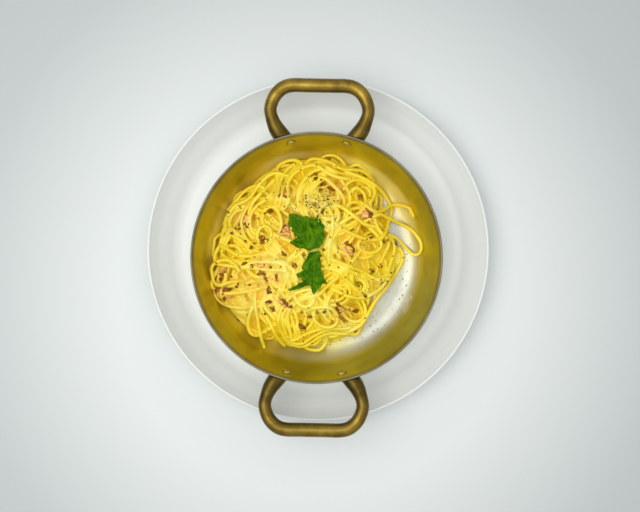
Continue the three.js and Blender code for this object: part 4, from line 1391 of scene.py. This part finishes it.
def make_cheese(surface, material):
    places = [rng.normal(SPRINKLE, SPRINKLE_SPREAD) for _ in range(CHEESE_SPRINKLED)]
    for _ in range(CHEESE_STREWN):
        angle = rng.uniform(0, FULL_TURN)
        x, y = polar(math.sqrt(rng.uniform(0, 1)) * STREWN_REACH, angle)
        places.append((STREWN_X + x * 0.8, STREWN_Y + y * 0.8))
    for (cx, cy), _ in LEAVES.values():
        places = [(x, y) for x, y in places if math.hypot(x - cx, y - cy) > LEAF_CLEAR]
    shreds = [shred(surface, x, y, rng.uniform(1.8, 4.6), rng.uniform(0, 6.28)) for x, y in places]
    made = mesh_object("grated_cheese", *joined(shreds), material, smooth=False)
    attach(made, "root")


FILM_CENTRE = (55, -33)
FILM_HALF = (19, 30)
FILM_TURN = math.radians(-33)
FILM_RINGS, FILM_SPOKES = 10, 120
FILM_LIFT, FILM_SKIN = 0.06, 0.28


def make_film(material):
    """A thin uneven film of sauce on the bare part of the pan's floor."""
    angles = round_angles(FILM_SPOKES)
    shares = np.linspace(0, 1, FILM_RINGS + 1)[1:, None]
    reach = 1 + waves(angles, (0.16, 3, 1), (0.1, 7, 0), (0.05, 13, 2))
    oval = np.stack([reach * FILM_HALF[0] * np.cos(angles), reach * FILM_HALF[1] * np.sin(angles)], -1)
    flat = turned(shares[..., None] * oval, FILM_TURN) + FILM_CENTRE
    floor = rest_height(np.hypot(flat[..., 0], flat[..., 1]), 0)
    top = floor + FILM_LIFT + FILM_SKIN * (1 - shares**4)
    upper = np.concatenate([flat, top[..., None]], -1).reshape(-1, 3)
    middle = (*flat[0].mean(0), FLOOR_Z + FILM_LIFT + FILM_SKIN)
    faces = ring_faces(FILM_RINGS, FILM_SPOKES, 1)
    made = mesh_object("sauce_film", np.vstack([upper, middle]), faces, material)
    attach(made, "root")


# ---------------------------------------------------------------- floor, light and camera

CAMERA_PLACE = (1.66, -0.58, 850)
PAN_TURN = math.radians(1.1)  # the pan looks turned this much clockwise, so the camera rolls the other way
FOCAL_PIXELS = 1012
IMAGE_WIDTH = 640
SENSOR = 36
SKY = [(0.0, 0.32), (0.9, 1.0), (0.45, 0.75)]  # height above the horizon and brightness
SKY_TINT = (0.97, 0.985, 1.0)
SKY_STRENGTH = 1.03
KEY_PLACE = (-0.45, 0.0, 1.2)
KEY_SIZE = 1.1
KEY_POWER = 6
KEY_TINT = (1.0, 0.99, 0.965)
TABLE_HALF = 6000


def make_floor():
    """The table, with a painted pool of light: brightest just about the plate and painted darker further out.
    """
    look = Look("floor", {"Roughness": 0.7})
    place = look.node("ShaderNodeTexCoord")
    away = look.node("ShaderNodeVectorMath", operation="DISTANCE")
    look.link(place.outputs["Object"], away, 0)
    # The painted pool of light is centred a little to the front.
    away.inputs[1].default_value = (0, -0.03, 0)
    shades = ((0.17, (219, 224, 222)), (0.3, (185, 191, 190)), (0.36, (180, 186, 185)))
    look.paint(look.colours(away.outputs["Value"], *shades))
    corners = [(i * TABLE_HALF, j * TABLE_HALF, 0) for i, j in ((-1, -1), (1, -1), (1, 1), (-1, 1))]
    floor = mesh_object("floor", corners, [(0, 1, 2, 3)], look.material, smooth=False, centre=(0, 0, 0))


def make_sky():
    """A bright ceiling that darkens towards the horizon."""
    world = bpy.data.worlds.new("studio")
    bpy.context.scene.world = world
    world.use_nodes = True
    nodes, links = world.node_tree.nodes, world.node_tree.links
    place = nodes.new("ShaderNodeTexCoord")
    split = nodes.new("ShaderNodeSeparateXYZ")
    sky = nodes.new("ShaderNodeValToRGB")
    links.new(place.outputs["Generated"], split.inputs["Vector"])
    links.new(split.outputs["Z"], sky.inputs["Fac"])
    for element, (height, level) in zip([*sky.color_ramp.elements, sky.color_ramp.elements.new(0.5)], SKY):
        element.position = height
        element.color = (*[level * tint for tint in SKY_TINT], 1)
    background = nodes["Background"]
    links.new(sky.outputs["Color"], background.inputs["Color"])
    background.inputs["Strength"].default_value = SKY_STRENGTH


def make_lamp():
    """One large soft lamp above the left."""
    key = bpy.data.lights.new("key", "AREA")
    key.shape = "DISK"
    key.size = KEY_SIZE
    key.energy = KEY_POWER
    key.color = KEY_TINT
    lamp = bpy.data.objects.new("key", key)
    lamp.location = KEY_PLACE
    lamp.rotation_euler = (-lamp.location).to_track_quat("-Z", "Y").to_euler()
    bpy.context.scene.collection.objects.link(lamp)


def make_camera():
    data = bpy.data.cameras.new("camera")
    data.lens = FOCAL_PIXELS / IMAGE_WIDTH * SENSOR
    data.sensor_width = SENSOR
    data.clip_start, data.clip_end = 0.05, 20
    camera = bpy.data.objects.new("camera", data)
    camera.location = [v * MM for v in CAMERA_PLACE]
    camera.rotation_euler = (0, 0, PAN_TURN)
    scene = bpy.context.scene
    scene.collection.objects.link(camera)
    scene.camera = camera
    scene.view_settings.view_transform = "Standard"
    scene.view_settings.look = "None"


# ---------------------------------------------------------------- the whole object

make_floor()
make_sky()
make_lamp()
make_camera()

make_plate(porcelain())
make_pan(pan_metal())
brass = aged_brass()
# Each handle's two numbers set its painted shade near the pan and at the bar; the front handle is painted
# darker, as it lies more in shade.
make_handle("brass_handle_back", "handle_back", False, (0.18, 1.0), brass)
make_handle("brass_handle_front", "handle_front", True, (0.0, 0.6), brass)
pale_brass = rubbed_brass()
for rivet_end in ("back", "front"):
    for rivet_hand in ("left", "right"):
        make_rivet(rivet_end, rivet_hand, pale_brass)

heap_strands, heap_surface = lay_heap()
make_spaghetti(heap_strands, heap_surface, pasta())
make_sauce(heap_surface, sauce())
leaf_look = herb()
for leaf_name in LEAVES:
    make_leaf(leaf_name, heap_surface, leaf_look)
make_stalk(heap_surface, stalk_look())
meat = bacon_look()
make_bacon(heap_surface, meat)
make_bacon_bits(heap_surface, meat)
make_cheese(heap_surface, cheese_look())
make_pepper(heap_surface, pepper_look())
make_film(film_look())
